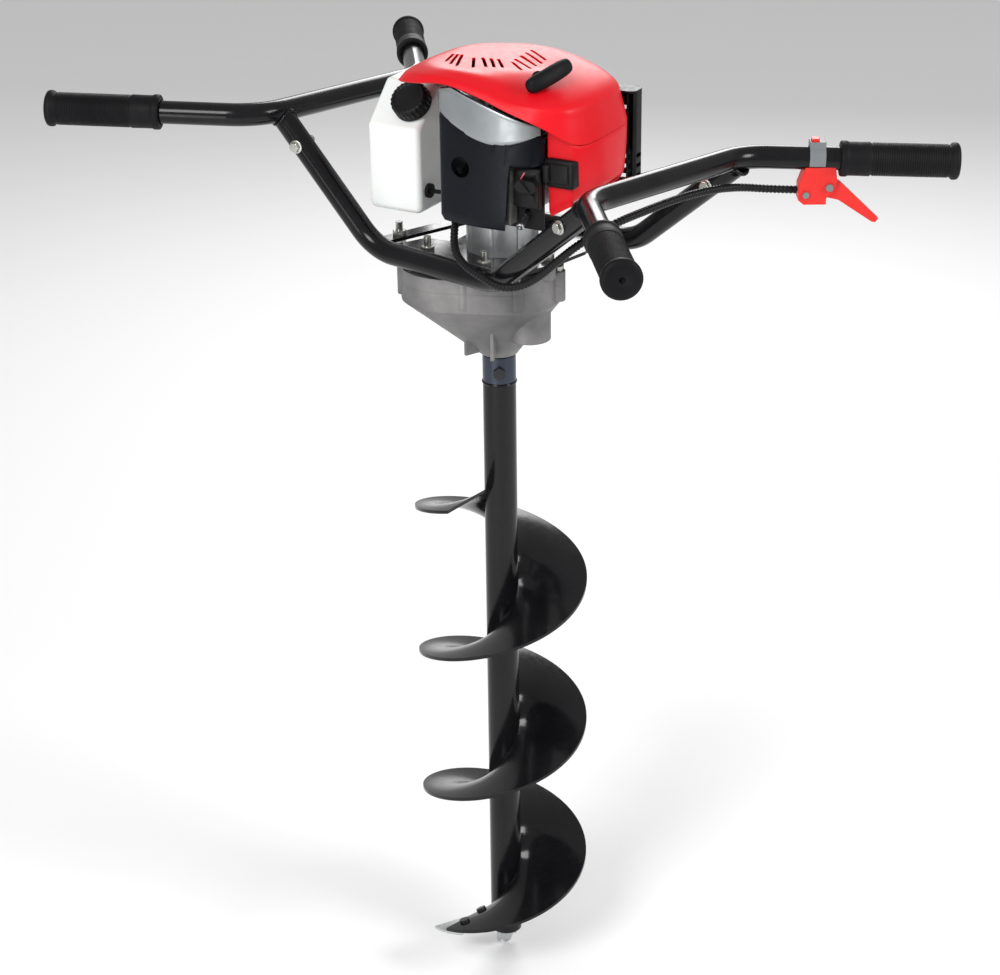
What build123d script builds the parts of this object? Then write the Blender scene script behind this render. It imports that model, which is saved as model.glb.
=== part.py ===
"""Two-handed petrol ice auger: drill bit, reduction gearbox, engine and cradle frame.

Millimetres, +Z up. The origin is the pilot tip, on the axis that the drill turns about.
+X points to the throttle grip and -Y to the front grip.
"""
from build123d import *
from math import atan2, cos, degrees, pi, radians, sin, tan
import os

os.makedirs("parts", exist_ok=True)

# ---- Drill bit -------------------------------------------------------------
BIT_RADIUS = 100.0
BIT_TUBE_RADIUS = 19.0
BIT_TUBE_WALL = 3.0
FLIGHT_PITCH = 189.0
FLIGHT_THICK = 4.0
FLIGHT_TOP = 638.0
FLIGHT_TURNS = 3.03
FLIGHT_START = 233.0
PILOT_TOP = 62.0
KNIFE_THICK = 3.1
KNIFE_SCREWS = (46.0, 78.0)
KNIFE_SCREW_ANGLE = 7.0
SOCKET_FOOT = 700.0
SOCKET_SHOULDER = 767.0
SOCKET_TOP = 798.0
SPINDLE_RADIUS = 10.0
CROSS_BOLT_HEIGHT = 781.0

# ---- Gear train ------------------------------------------------------------
GEAR_MODULE = 1.5
INPUT_TEETH = 11
IDLER_TEETH = 62
PINION_TEETH = 10
OUTPUT_TEETH = 56
FIRST_CENTRES = GEAR_MODULE * (INPUT_TEETH + IDLER_TEETH) / 2
SECOND_CENTRES = GEAR_MODULE * (PINION_TEETH + OUTPUT_TEETH) / 2
IDLER_X = -SECOND_CENTRES
ENGINE_X = FIRST_CENTRES - SECOND_CENTRES
OUTPUT_GEAR_FOOT = 859.0
IDLER_GEAR_FOOT = 877.0
GEAR_FACE = 12.0

# ---- Gearbox ---------------------------------------------------------------
HOUSING_FOOT = 800.0
HOUSING_LEDGE = 868.0
HOUSING_SEAM = 890.0
COVER_TOP = 906.0
PLATE_FOOT = 920.0
PLATE_TOP = 924.0
HOUSING_WALL = 5.0
RIGHT_LOBE = (6.0, 67.0)
LEFT_LOBE = (-50.0, 58.0)
GEARBOX_SCREWS = [(66, 30), (66, -30), (20, -60), (20, 60), (-38, -54), (-60, 52), (-104, 0)]

# ---- Engine, turned about the upright crank axis ---------------------------
ENGINE_TURN = -30.0
CLUTCH_RADIUS = 39.5
CLUTCH_TOP = 985.0
CRANKCASE_TOP = 1066.0
BORE_HEIGHT = 1030.0
CRANK_THROW = 16.0
DOME_FOOT = 1074.0
DOME_TOP = 1138.0
DOME_RADIUS = 98.0
SHELL_WALL = 2.5
COVER_LEFT = -22.0
COVER_RIGHT = 93.0
COVER_FRONT = -98.0
COVER_BACK = -74.0
COVER_FOOT = 978.0
COVER_TOP_LEFT = 1126.0
COVER_TOP_RIGHT = 1080.0
COVER_BACK_ROOM = 73.0
COVER_SCREW_X = 6.0
NOTCH_LEFT = 66.0
NOTCH_TOP = 1047.0
CHOKE_X = 80.0
CHOKE_HEIGHT = 1029.0
IDLE_TIP = (74.0, -69.5, 999.0)
ROPE_EXIT = (66.0, -38.0, 1130.0)
ROPE_PULL = (0.840, -0.420, 0.344)
SHROUD_END = 136.0
TANK_LEFT = -142.0
TANK_RIGHT = -76.0
TANK_HALF_WIDTH = 48.0
TANK_FOOT = 962.0
TANK_TOP = 1100.0
CAP_RADIUS = 21.0
CAP_TILT = Vector(0, -sin(radians(45)), cos(radians(45)))
CAP_SEAT = (-93.0, -27.0, 1079.0)

# ---- Frame -----------------------------------------------------------------
TUBE_RADIUS = 12.7
TUBE_WALL = 2.0
GRIP_LENGTH = 127.0
GRIP_RADIUS = 18.0
FLANGE_RADIUS = 20.0
LOW_RUN = PLATE_TOP - 2.0
RIGHT_BAR = [(493, -53, 1031), (261, -47, 1038), (88, -246, 1052), (111, -488, 1057)]
LEFT_BAR = [(-493, 53, 1073), (-258, 28, 1068), (-92, 243, 1052), (-110, 488, 1047)]
FRONT_CRADLE = [(-228, 50, 1051), (-134, 2, LOW_RUN), (-2, -111, LOW_RUN), (84, -237, 1036)]
REAR_CRADLE = [(247, -50, 1022), (152, 20, LOW_RUN), (6, 118, LOW_RUN), (-86, 239, 1036)]
PLATE_BOLTS = [(-15, -67), (-77, -14), (54, -44), (-10, 58)]
STRAP_BOLT = (-110.0, 45.0)
BAR_BEND = 62.0
CRADLE_BEND = 55.0
COPE = 17.0  # a cradle end runs on this far, and its mouth is shaped to the handlebar

# ---- Throttle control ------------------------------------------------------
THROTTLE_HINGE = (355.0, -50.0, 1006.0)
CABLE_RADIUS = 4.5
CONDUIT = [
    (-45, -55, 972), (-49, -76, 951), (-37, -103, 939), (-17, -129, 934), (2, -149, 929),
    (25, -159, 934), (45, -172, 951), (66, -195, 979), (90, -211, 1003), (120, -200, 1016),
    (152, -168, 1018), (190, -126, 1018), (230, -88, 1015), (262, -64, 1009), (290, -53, 1003),
    (321, -50, 1001),
]


def at_engine(shape):
    """Place a shape drawn about the crank axis, cylinder along +X, on the object."""
    return Pos(ENGINE_X, 0, 0) * Rot(0, 0, ENGINE_TURN) * shape


def post(radius, foot, top, x=0.0, y=0.0):
    """Upright round bar between two heights."""
    return Pos(x, y, (foot + top) / 2) * Cylinder(radius, top - foot)


def ring(outer, inner, foot, top, x=0.0, y=0.0):
    """Upright tube between two heights."""
    return post(outer, foot, top, x, y) - post(inner, foot - 1, top + 1, x, y)


def block(x0, x1, y0, y1, z0, z1):
    """Box from its limits."""
    centre = Pos((x0 + x1) / 2, (y0 + y1) / 2, (z0 + z1) / 2)
    return centre * Box(x1 - x0, y1 - y0, z1 - z0)


def rod(start, end, radius):
    """Round bar between two points."""
    path = Vector(*end) - Vector(*start)
    return Plane(origin=start, z_dir=path) * Pos(0, 0, path.length / 2) * Cylinder(radius, path.length)


def polar(radius, angle):
    """Point at an angle in degrees about the origin."""
    return radius * cos(radians(angle)), radius * sin(radians(angle))


def toward(start, end, distance):
    """Point at a distance from start on the way to end."""
    step = (Vector(*end) - Vector(*start)).normalized() * distance
    return tuple(Vector(*start) + step)


def bent_tube(points, bend, outer, inner):
    """Round tube along straight runs joined by arcs."""
    path = FilletPolyline(*points, radius=bend)
    plane = Plane(origin=path @ 0, z_dir=path % 0)
    return sweep(plane * (Circle(outer) - Circle(inner)), path=path)


def bent_solid(points, bend, radius):
    """Round solid bar along straight runs joined by arcs."""
    path = FilletPolyline(*points, radius=bend)
    return sweep(Plane(origin=path @ 0, z_dir=path % 0) * Circle(radius), path=path)


def hex_bolt(start, end, radius, head, nut_at):
    """Bolt with a hexagon head at start and a nut at a distance along it."""
    length = (Vector(*end) - Vector(*start)).length
    plane = Plane(origin=start, z_dir=Vector(*end) - Vector(*start))
    parts = Pos(0, 0, length / 2) * Cylinder(radius, length)
    parts += extrude(RegularPolygon(head, 6), -radius * 1.1)
    parts += Pos(0, 0, nut_at) * extrude(RegularPolygon(head, 6), radius * 1.5)
    return plane * parts


def socket_screw(x, y, seat, depth, radius=3.0):
    """Cap screw standing on a seat with a hexagon recess."""
    head = post(radius * 1.7, seat, seat + radius * 1.8, x, y)
    recess = Pos(x, y, seat + radius * 0.9) * extrude(RegularPolygon(radius * 0.9, 6), radius)
    return head + post(radius, seat - depth, seat, x, y) - recess


def lobed_outline(inset):
    """Gearbox outline in plan: the hull of its two round lobes."""
    right = Pos(RIGHT_LOBE[0], 0) * Circle(RIGHT_LOBE[1] - inset)
    left = Pos(LEFT_LOBE[0], 0) * Circle(LEFT_LOBE[1] - inset)
    return make_hull((right + left).edges())


def spur_gear(teeth, foot, top, bore, phase):
    """Spur gear with short tapered teeth and a bore."""
    pitch_radius = GEAR_MODULE * teeth / 2
    root = pitch_radius - 1.1 * GEAR_MODULE
    tip = pitch_radius + 0.45 * GEAR_MODULE
    half_root = 0.27 * pi * GEAR_MODULE
    half_tip = 0.11 * pi * GEAR_MODULE
    corners = [(root - 0.5, -half_root), (tip, -half_tip), (tip, half_tip), (root - 0.5, half_root)]
    tooth = make_face(Polyline(*corners, close=True))
    outline = Circle(root)
    for index in range(teeth):
        outline += Rot(0, 0, phase + 360 / teeth * index) * tooth
    outline -= Circle(bore)
    return Pos(0, 0, foot) * extrude(outline, top - foot)


# ---- Drill bit -------------------------------------------------------------
def auger_tube():
    """Hollow stem of the drill with the weld bead under its socket."""
    stem = ring(BIT_TUBE_RADIUS, BIT_TUBE_RADIUS - BIT_TUBE_WALL, 24, SOCKET_SHOULDER)
    bead = Pos(0, 0, SOCKET_SHOULDER - 2) * Torus(BIT_TUBE_RADIUS - 0.4, 1.6)
    bead -= post(BIT_TUBE_RADIUS - 1, SOCKET_SHOULDER - 8, SOCKET_SHOULDER + 8)
    bead -= post(60, SOCKET_SHOULDER, SOCKET_SHOULDER + 8)
    return stem + bead


def screw_ribbon(inner, thick, first, last, drop):
    """Screw surface between two angles from its foot, thickened along Z and lowered by drop."""
    section = Plane.XZ * Pos((inner + BIT_RADIUS) / 2, 0) * Rectangle(BIT_RADIUS - inner, thick)
    rise = FLIGHT_PITCH * (last - first) / 360
    guide = Helix(pitch=FLIGHT_PITCH, height=rise, radius=(inner + BIT_RADIUS) / 2)
    ribbon = Rot(0, 0, first) * sweep(section, path=guide, is_frenet=True)
    return at_flight_foot(Pos(0, 0, FLIGHT_PITCH * first / 360 - drop) * ribbon)


def at_flight_foot(shape):
    """Place a shape drawn at angle 0 and height 0 on the screw blade's lower end."""
    return Pos(0, 0, FLIGHT_TOP - FLIGHT_PITCH * FLIGHT_TURNS) * Rot(0, 0, FLIGHT_START - 360 * FLIGHT_TURNS) * shape


def on_knife(shape, radius):
    """Stand a shape on the screw surface where a knife screw goes through it."""
    slope = degrees(atan2(FLIGHT_PITCH, 2 * pi * radius))
    standing = Pos(radius, 0, 0) * Rot(slope, 0, 0) * shape
    return at_flight_foot(Pos(0, 0, FLIGHT_PITCH * KNIFE_SCREW_ANGLE / 360) * Rot(0, 0, KNIFE_SCREW_ANGLE) * standing)


def auger_flight():
    """Right-handed screw blade round the stem, drilled for the knife screws."""
    blade = screw_ribbon(BIT_TUBE_RADIUS + 0.05, FLIGHT_THICK, 0, 360 * FLIGHT_TURNS, 0)
    for radius in KNIFE_SCREWS:
        blade -= on_knife(post(4, -12, 12) + post(6.5, 1.6, 12), radius)
    return blade


def cutting_blade():
    """Bolt-on ice knife under the screw blade's lower edge, ground on its lower side."""
    blade = screw_ribbon(30, KNIFE_THICK, -15, 15, (FLIGHT_THICK + KNIFE_THICK) / 2 + 0.05)
    blade -= at_flight_foot(Rot(0, 0, -15) * Pos(62, 4, -17.5) * Rot(52, 0, 0) * Box(120, 14, 4))
    for radius in KNIFE_SCREWS:
        blade -= on_knife(post(4, -12, 12) + post(6.5, -12, -4.9), radius)
    return blade


def pilot_point():
    """Fishtail centring point welded into the foot of the stem."""
    plug = post(BIT_TUBE_RADIUS - BIT_TUBE_WALL - 0.05, 26, PILOT_TOP)
    shank = post(9, 14, 26)
    tail = [(-14, 20), (-14, 6), (-9, 9), (-4, 1), (0, 0), (4, 1), (9, 9), (14, 6), (14, 20), (9, 26), (-9, 26)]
    fin = extrude(Plane.XZ * make_face(Polyline(*tail, close=True)), 2.5, both=True)
    return plug + shank + Rot(0, 0, 40) * fin


def auger_socket():
    """Machined socket that takes the gearbox spindle."""
    shell = post(BIT_TUBE_RADIUS, SOCKET_SHOULDER, SOCKET_TOP)
    shell += post(BIT_TUBE_RADIUS - BIT_TUBE_WALL - 0.05, SOCKET_FOOT, SOCKET_SHOULDER)
    shell -= post(SPINDLE_RADIUS + 0.05, SOCKET_FOOT + 14, SOCKET_TOP + 1)
    shell -= rod((0, -30, CROSS_BOLT_HEIGHT), (0, 30, CROSS_BOLT_HEIGHT), 4.05)
    return shell


def auger_bolts():
    """Cross bolt of the socket and the two knife screws."""
    reach = BIT_TUBE_RADIUS + 0.1
    bolts = [hex_bolt((0, -reach, CROSS_BOLT_HEIGHT), (0, reach + 9, CROSS_BOLT_HEIGHT), 4, 7.5, 2 * reach)]
    for radius in KNIFE_SCREWS:
        bolts.append(on_knife(post(3.9, -8, 5) + post(6, 1.65, 5) + post(6, -8.4, -4.95), radius))
    return bolts


def output_shaft():
    """Spindle that carries the output gear and reaches down into the drill socket."""
    spindle = post(SPINDLE_RADIUS, SOCKET_FOOT + 18, 852)
    spindle += post(SPINDLE_RADIUS + 2, 842, 858.8)
    spindle += post(SPINDLE_RADIUS, 852, OUTPUT_GEAR_FOOT + GEAR_FACE + 2)
    spindle -= rod((0, -30, CROSS_BOLT_HEIGHT), (0, 30, CROSS_BOLT_HEIGHT), 4.05)
    return spindle


def output_gear():
    """Large gear on the spindle."""
    gear = spur_gear(OUTPUT_TEETH, OUTPUT_GEAR_FOOT, OUTPUT_GEAR_FOOT + GEAR_FACE, SPINDLE_RADIUS + 0.02, 0)
    for index in range(6):
        x, y = polar(26, 60 * index + 30)
        gear -= post(6, OUTPUT_GEAR_FOOT - 1, OUTPUT_GEAR_FOOT + GEAR_FACE + 1, x, y)
    return gear


# ---- Gearbox ---------------------------------------------------------------
def housing_funnel(inset, foot_inset):
    """Tapered body from the two-lobed rim to the round spindle neck."""
    rim = Pos(0, 0, HOUSING_LEDGE) * lobed_outline(inset)
    neck = Pos(0, 0, HOUSING_FOOT) * Circle(21 - foot_inset)
    return loft([neck, rim])


def gearbox_housing():
    """Lower casting: rim, funnel, neck, ribs and the round boss beside the neck."""
    body = housing_funnel(0, 0)
    body += Pos(0, 0, HOUSING_LEDGE) * extrude(lobed_outline(0), HOUSING_SEAM - HOUSING_LEDGE)
    body += post(24, 826, HOUSING_LEDGE, 34, -26)
    body += post(20, HOUSING_FOOT, 840)
    for angle in (-100, 20, 150, 215):
        rib = block(14, 46, -2, 2, 806, HOUSING_LEDGE)
        body += Rot(0, 0, angle) * rib & post(60, HOUSING_FOOT, HOUSING_LEDGE)
    for x, y in GEARBOX_SCREWS:
        body += post(8, 872, HOUSING_SEAM, x, y)
    cavity = Pos(0, 0, 856) * extrude(lobed_outline(HOUSING_WALL + 9), 34.5)
    cavity += Pos(0, 0, HOUSING_LEDGE + 3) * extrude(lobed_outline(HOUSING_WALL), 25)
    body -= cavity & block(-200, 200, -200, 200, 856, 895)
    body -= post(21.02, 814, 857)
    body -= post(16.02, 803, 815)
    body -= post(11.5, HOUSING_FOOT - 1, 804)
    body -= post(11.02, 848, 858, IDLER_X)
    for x, y in GEARBOX_SCREWS:
        body -= post(3.1, 871, HOUSING_SEAM + 1, x, y)
    return body


def gearbox_cover():
    """Upper casting with the bearing seats and the boss that carries the cradle plate."""
    body = Pos(0, 0, HOUSING_SEAM) * extrude(lobed_outline(0), COVER_TOP - HOUSING_SEAM)
    for x, y in GEARBOX_SCREWS:
        body += post(8, HOUSING_SEAM, COVER_TOP, x, y)
    cavity = Pos(0, 0, HOUSING_SEAM - 1) * extrude(lobed_outline(HOUSING_WALL), 12)
    body -= cavity
    body += post(23, HOUSING_SEAM + 3, PLATE_FOOT, ENGINE_X)
    body += post(46, COVER_TOP - 1, PLATE_FOOT, ENGINE_X)
    body += post(16, HOUSING_SEAM + 5, COVER_TOP, IDLER_X)
    for x, y in PLATE_BOLTS:
        body += post(9, COVER_TOP - 4, PLATE_FOOT, x, y)
        body -= post(4.1, COVER_TOP - 3, PLATE_FOOT + 1, x, y)
    body -= post(17.52, HOUSING_SEAM, 912, ENGINE_X)
    body -= post(9, 905, PLATE_FOOT + 1, ENGINE_X)
    body -= post(11.02, HOUSING_SEAM, 903, IDLER_X)
    for x, y in GEARBOX_SCREWS:
        body -= post(3.1, HOUSING_SEAM - 1, COVER_TOP + 1, x, y)
    return body


def gearbox_screws():
    """Cap screws round the gearbox seam."""
    return [socket_screw(x, y, COVER_TOP, 26) for x, y in GEARBOX_SCREWS]


def bearing(outer, inner, foot, top, x=0.0, y=0.0):
    """Ball bearing as its outer race, inner race and balls."""
    middle = (outer + inner) / 2
    half = (outer - inner) * 0.19
    shell = ring(outer, outer - half, foot, top, x, y)
    core = ring(inner + half, inner, foot, top, x, y)
    ball = (outer - inner) / 2 - half - 0.05
    balls = []
    for index in range(8):
        bx, by = polar(middle, 45 * index)
        balls.append(Pos(x + bx, y + by, (foot + top) / 2) * Sphere(min(ball, (top - foot) / 2 - 0.5)))
    return [shell, core] + balls


def ball_bearings():
    """Bearings of the spindle, the idler, the clutch drum and the crank."""
    sets = bearing(21, SPINDLE_RADIUS + 0.02, 815, 827)
    sets += bearing(21, SPINDLE_RADIUS + 0.02, 829, 841)
    sets += bearing(11, 5.02, 848.2, 855.8, IDLER_X)
    sets += bearing(11, 5.02, 894, 902, IDLER_X)
    sets += bearing(17.5, 7.52, 896, 908, ENGINE_X)
    sets += bearing(16, 7.52, 992, 1003, ENGINE_X)
    sets += bearing(16, 7.52, 1054, 1064, ENGINE_X)
    return sets


def oil_seal():
    """Lip seal in the mouth of the spindle neck."""
    return ring(16, SPINDLE_RADIUS + 0.05, 804.2, 811)


def idler_shaft():
    """Idler shaft with its pinion, and the large idler gear on it."""
    shaft = post(5, 848.5, 901.5) + post(6, 856.5, 876.8) + post(6, 889.2, 893.5)
    pinion = spur_gear(PINION_TEETH, OUTPUT_GEAR_FOOT - 1, OUTPUT_GEAR_FOOT + GEAR_FACE + 1, 5.0, 0)
    shaft += pinion
    gear = spur_gear(IDLER_TEETH, IDLER_GEAR_FOOT, IDLER_GEAR_FOOT + GEAR_FACE, 5.02, 0)
    for index in range(6):
        x, y = polar(27, 60 * index)
        gear -= post(8, IDLER_GEAR_FOOT - 1, IDLER_GEAR_FOOT + GEAR_FACE + 1, x, y)
    half_pinion = 180 / PINION_TEETH
    placed = [Rot(0, 0, half_pinion) * shaft, gear]
    return [Pos(IDLER_X, 0, 0) * piece for piece in placed]


def clutch_drum():
    """Clutch drum on the input shaft, with the input pinion cut at its foot."""
    drum = post(34, 934, 937) + ring(34, 31, 937, 957)
    drum += post(7.5, 896, 940) + post(9, 928, 934)
    drum += post(6, 874, 896)
    drum += spur_gear(INPUT_TEETH, IDLER_GEAR_FOOT - 2, IDLER_GEAR_FOOT + GEAR_FACE + 2, 5.0, 0)
    return Pos(ENGINE_X, 0, 0) * drum


# ---- Engine: clutch, crank and cylinder ------------------------------------
def clutch_housing():
    """Cast bell between the cradle plate and the crankcase, with its ribs."""
    bell = post(CLUTCH_RADIUS, PLATE_TOP, CLUTCH_TOP - 6)
    bell += post(CLUTCH_RADIUS + 6, CLUTCH_TOP - 6, CLUTCH_TOP)
    for index in range(8):
        angle = 45 * index + 12
        bell += Rot(0, 0, angle) * block(CLUTCH_RADIUS - 2, CLUTCH_RADIUS + 1.6, -2.2, 2.2, PLATE_TOP, CLUTCH_TOP - 4)
    bell -= post(36, PLATE_TOP + 4, CLUTCH_TOP - 8)
    bell -= post(11, PLATE_TOP - 1, PLATE_TOP + 5)
    bell -= post(24, CLUTCH_TOP - 9, CLUTCH_TOP + 1)
    return at_engine(bell)


def clutch_shoes():
    """Three centrifugal shoes and the garter spring round them."""
    pieces = []
    shoe = (post(30.3, 940, 954) - post(12, 939, 955)) - ring(40, 28.2, 945.4, 948.6)
    sector = make_face(Polyline((0, 0), polar(60, -52), polar(60, 0), polar(60, 52), close=True))
    wedge = Pos(3, 0, 936) * extrude(sector, 22)
    for index in range(3):
        pieces.append(Rot(0, 0, 120 * index) * (shoe & wedge))
    pieces.append(Pos(0, 0, 947) * Torus(29.0, 0.7))
    return [at_engine(piece) for piece in pieces]


def crankshaft():
    """Crank with two round webs, the pin between them and the carrier for the shoes."""
    crank = post(7.5, 940, 1012) + post(11.9, 940.5, 953.5) + post(10.5, 954, 990)
    crank += post(23.5, 1012, 1021) + post(23.5, 1039, 1048)
    crank += post(7, 1020, 1040, CRANK_THROW)
    crank += post(7.5, 1048, 1098) + post(5, 1098, 1106)
    crank -= post(4, 1011, 1022, -CRANK_THROW) + post(4, 1038, 1049, -CRANK_THROW)
    return at_engine(crank)


def flywheel():
    """Flywheel fan with its vanes, magnet weight and starter cup."""
    wheel = post(56, 1074, 1079) + post(18, 1068, 1096)
    for index in range(16):
        wheel += Rot(0, 0, 22.5 * index) * block(22, 55, -1.2, 1.2, 1078, 1091)
    wheel += Rot(0, 0, 8) * block(40, 55, -9, 9, 1070, 1075)
    wheel += ring(22, 19, 1096, 1101) + post(20, 1094, 1096.5)
    wheel -= post(7.52, 1060, 1110)
    return at_engine(wheel)


def crankcase():
    """Two crankcase halves with the crank chamber and the cylinder seat."""
    body = post(34, CLUTCH_TOP, CRANKCASE_TOP)
    body += block(0, 34, -32, 32, 996, 1064)
    body += block(-40, -20, -20, 20, 1000, 1060)
    body += ring(44, 30, 1060, CRANKCASE_TOP)
    body -= post(24.6, 1009, 1051)
    body -= post(16.02, 991, 1004) + post(16.02, 1053, CRANKCASE_TOP + 1)
    body -= post(9.5, CLUTCH_TOP - 1, 1010) + post(9.5, 1050, 1060)
    body -= post(12, CLUTCH_TOP - 1, 992)
    body -= rod((20, 0, BORE_HEIGHT), (40, 0, BORE_HEIGHT), 20.3)
    lower = body & block(-70, 70, -70, 70, CLUTCH_TOP - 2, BORE_HEIGHT)
    upper = body & block(-70, 70, -70, 70, BORE_HEIGHT, CRANKCASE_TOP + 2)
    return [at_engine(lower), at_engine(upper)]


def cylinder():
    """Finned barrel and head, with intake and exhaust ports on its sides."""
    body = rod((34, 0, BORE_HEIGHT), (112, 0, BORE_HEIGHT), 27)
    body += block(34, 40, -31, 31, 1001, 1059)
    for index in range(8):
        x = 47 + 8.4 * index
        body += block(x, x + 2.2, -38, 38, 994, 1066)
    body += block(46, 74, -40, -20, 1012, 1048)
    body += block(50, 82, 20, 40, 1012, 1048)
    body -= rod((33, 0, BORE_HEIGHT), (98, 0, BORE_HEIGHT), 20.3)
    body -= rod((60, -41, BORE_HEIGHT), (60, -15, BORE_HEIGHT), 9)
    body -= rod((66, 41, BORE_HEIGHT), (66, 15, BORE_HEIGHT), 9)
    body -= rod((96, 0, BORE_HEIGHT), (114, 0, BORE_HEIGHT), 7.02)
    return at_engine(body)


def piston():
    """Piston with two ring grooves and its gudgeon pin."""
    body = rod((62, 0, BORE_HEIGHT), (90, 0, BORE_HEIGHT), 20)
    body -= rod((61, 0, BORE_HEIGHT), (84, 0, BORE_HEIGHT), 16)
    body += rod((74, 0, BORE_HEIGHT - 19.5), (74, 0, BORE_HEIGHT + 19.5), 5)
    for x in (84, 87):
        groove = rod((x, 0, BORE_HEIGHT), (x + 1.2, 0, BORE_HEIGHT), 21)
        body -= groove - rod((x - 1, 0, BORE_HEIGHT), (x + 3, 0, BORE_HEIGHT), 18.6)
    return at_engine(body)


def connecting_rod():
    """Connecting rod from the gudgeon pin, ending clear of the turning crank pin."""
    eye = post(8.5, BORE_HEIGHT - 5, BORE_HEIGHT + 5, 74)
    shank = block(25.2, 70, -5, 5, BORE_HEIGHT - 3.5, BORE_HEIGHT + 3.5)
    body = eye + shank - post(5.02, BORE_HEIGHT - 30, BORE_HEIGHT + 30, 74)
    return at_engine(body)


def spark_plug():
    """Spark plug in the head: hexagon, ceramic and terminal."""
    body = rod((98.5, 0, BORE_HEIGHT), (112.05, 0, BORE_HEIGHT), 6.95)
    plane = Plane(origin=(112.05, 0, BORE_HEIGHT), z_dir=(1, 0, 0))
    body += plane * extrude(RegularPolygon(9.5, 6), 7)
    body += rod((119, 0, BORE_HEIGHT), (129, 0, BORE_HEIGHT), 4.6)
    return at_engine(body)


def plug_boot():
    """Moulded boot that closes the notch of the shroud, with the lead's socket."""
    body = block(93.6, 127, -70, -38.6, 1008, 1050)
    body = fillet(body.edges().filter_by(Axis.Y), 5)
    body += block(119.3, 131.5, -40, 8, 1021, 1039)
    body -= rod((110, 0, BORE_HEIGHT), (129.2, 0, BORE_HEIGHT), 4.65)
    return at_engine(body)


def ignition_coil():
    """Ignition coil beside the flywheel with its two iron legs and mounting lugs."""
    body = block(62, 78, -16, 16, 1071, 1084) + block(58.5, 64, -16, -8, 1074, 1080)
    body += block(58.5, 64, 8, 16, 1074, 1080)
    return at_engine(Rot(0, 0, 105) * body)


def muffler():
    """Pressed box silencer on the exhaust port with its outlet stub."""
    body = fillet(block(42, 104, 40.05, 66, 996, 1062).edges(), 5)
    body += block(50, 82, 40.05, 44, 1012, 1048)
    body -= block(44, 102, 42, 64, 998, 1060)
    body += rod((98, 60, 1010), (98, 74, 1010), 6) - rod((98, 50, 1010), (98, 80, 1010), 4.5)
    return at_engine(body)


def muffler_guard():
    """Louvred heat guard over the silencer and the cylinder's far side."""
    body = fillet(block(24, 130, 60, 86, 984, 1100).edges().filter_by(Axis.Z), 9)
    body -= fillet(block(26.5, 127.5, 50, 83.5, 986.5, 1097.5).edges().filter_by(Axis.Z), 6.5)
    body -= post(DOME_RADIUS + 1.5, DOME_FOOT - 2, 1140)
    for index in range(8):
        z = 996 + 11 * index
        body -= block(40, 84, 80, 90, z, z + 4.5)
        body -= block(92, 114, 80, 90, z, z + 4.5)
    for index in range(4):
        z = 992 + 11 * index
        body -= block(125, 135, 68, 80, z, z + 4.5)
    return at_engine(body)


# ---- Engine: intake side ----------------------------------------------------
def carburettor():
    """Carburettor body with its heat spacer, throat, diaphragm cover and fuel stubs."""
    body = block(44, 76, -46, -40.05, 1012, 1048) + block(42, 78, -68, -46, 1012, 1048)
    body += block(46, 74, -66, -48, 1006, 1012) + block(66, 82, -68, -52, 984, 1012)
    body += rod((60, -71.4, BORE_HEIGHT), (60, -66, BORE_HEIGHT), 15)
    body -= rod((60, -75, BORE_HEIGHT), (60, -39, BORE_HEIGHT), 8.5)
    body += rod((38, -54, 1018), (43, -54, 1018), 2.5)
    body -= post(3.1, 1030, 1050, 50, -57)
    return at_engine(body)


def throttle_arm():
    """Throttle lever on top of the carburettor."""
    arm = post(3, 1036, 1053, 50, -57) + block(34, 53, -60, -54, 1050, 1053)
    return at_engine(arm)


def idle_screw():
    """Idle speed screw with its spring, below the filter cover."""
    screw = rod(IDLE_TIP, idle_point(26), 2.2) + rod(idle_point(23), idle_point(27), 4.2)
    return at_engine(screw + rod(idle_point(8.5), idle_point(23), 3.4))


def idle_point(distance):
    """Point on the idle screw's axis, outwards and down from its tip."""
    return tuple(Vector(*IDLE_TIP) + Vector(0, -0.843, -0.538) * distance)


def choke_lever():
    """Choke knob that turns at the right edge of the filter cover."""
    plane = Plane(origin=(CHOKE_X, -84, CHOKE_HEIGHT), z_dir=(0, -1, 0))
    knob = plane * extrude(Rot(0, 0, 90) * SlotOverall(25, 13), 7)
    knob += plane * Pos(0, 0, -6) * Cylinder(3.2, 18)
    knob += plane * Pos(0, 0, 7) * extrude(Rot(0, 0, 45) * Rectangle(15, 2.6), 2.5)
    return at_engine(knob)


def filter_base():
    """Back plate of the air filter with its intake hole."""
    body = block(COVER_LEFT, COVER_RIGHT, COVER_BACK + 0.05, COVER_BACK + 2.5, COVER_FOOT, 1072)
    body -= rod((60, -90, BORE_HEIGHT), (60, -60, BORE_HEIGHT), 11)
    body -= rod((CHOKE_X, -90, CHOKE_HEIGHT), (CHOKE_X, -60, CHOKE_HEIGHT), 3.3)
    body -= rod(IDLE_TIP, idle_point(20), 3.8)
    body -= rod((COVER_SCREW_X, -90, 1042), (COVER_SCREW_X, -60, 1042), 3.05)
    return at_engine(body)


def filter_element():
    """Foam filter pad behind the cover."""
    pad = block(COVER_LEFT + 6, NOTCH_LEFT - 5, -88, COVER_BACK - 0.1, 984, 1066)
    pad -= rod((COVER_SCREW_X, -99, 1042), (COVER_SCREW_X, -70, 1042), 14)
    return at_engine(pad & cover_blank(3.2))


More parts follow.
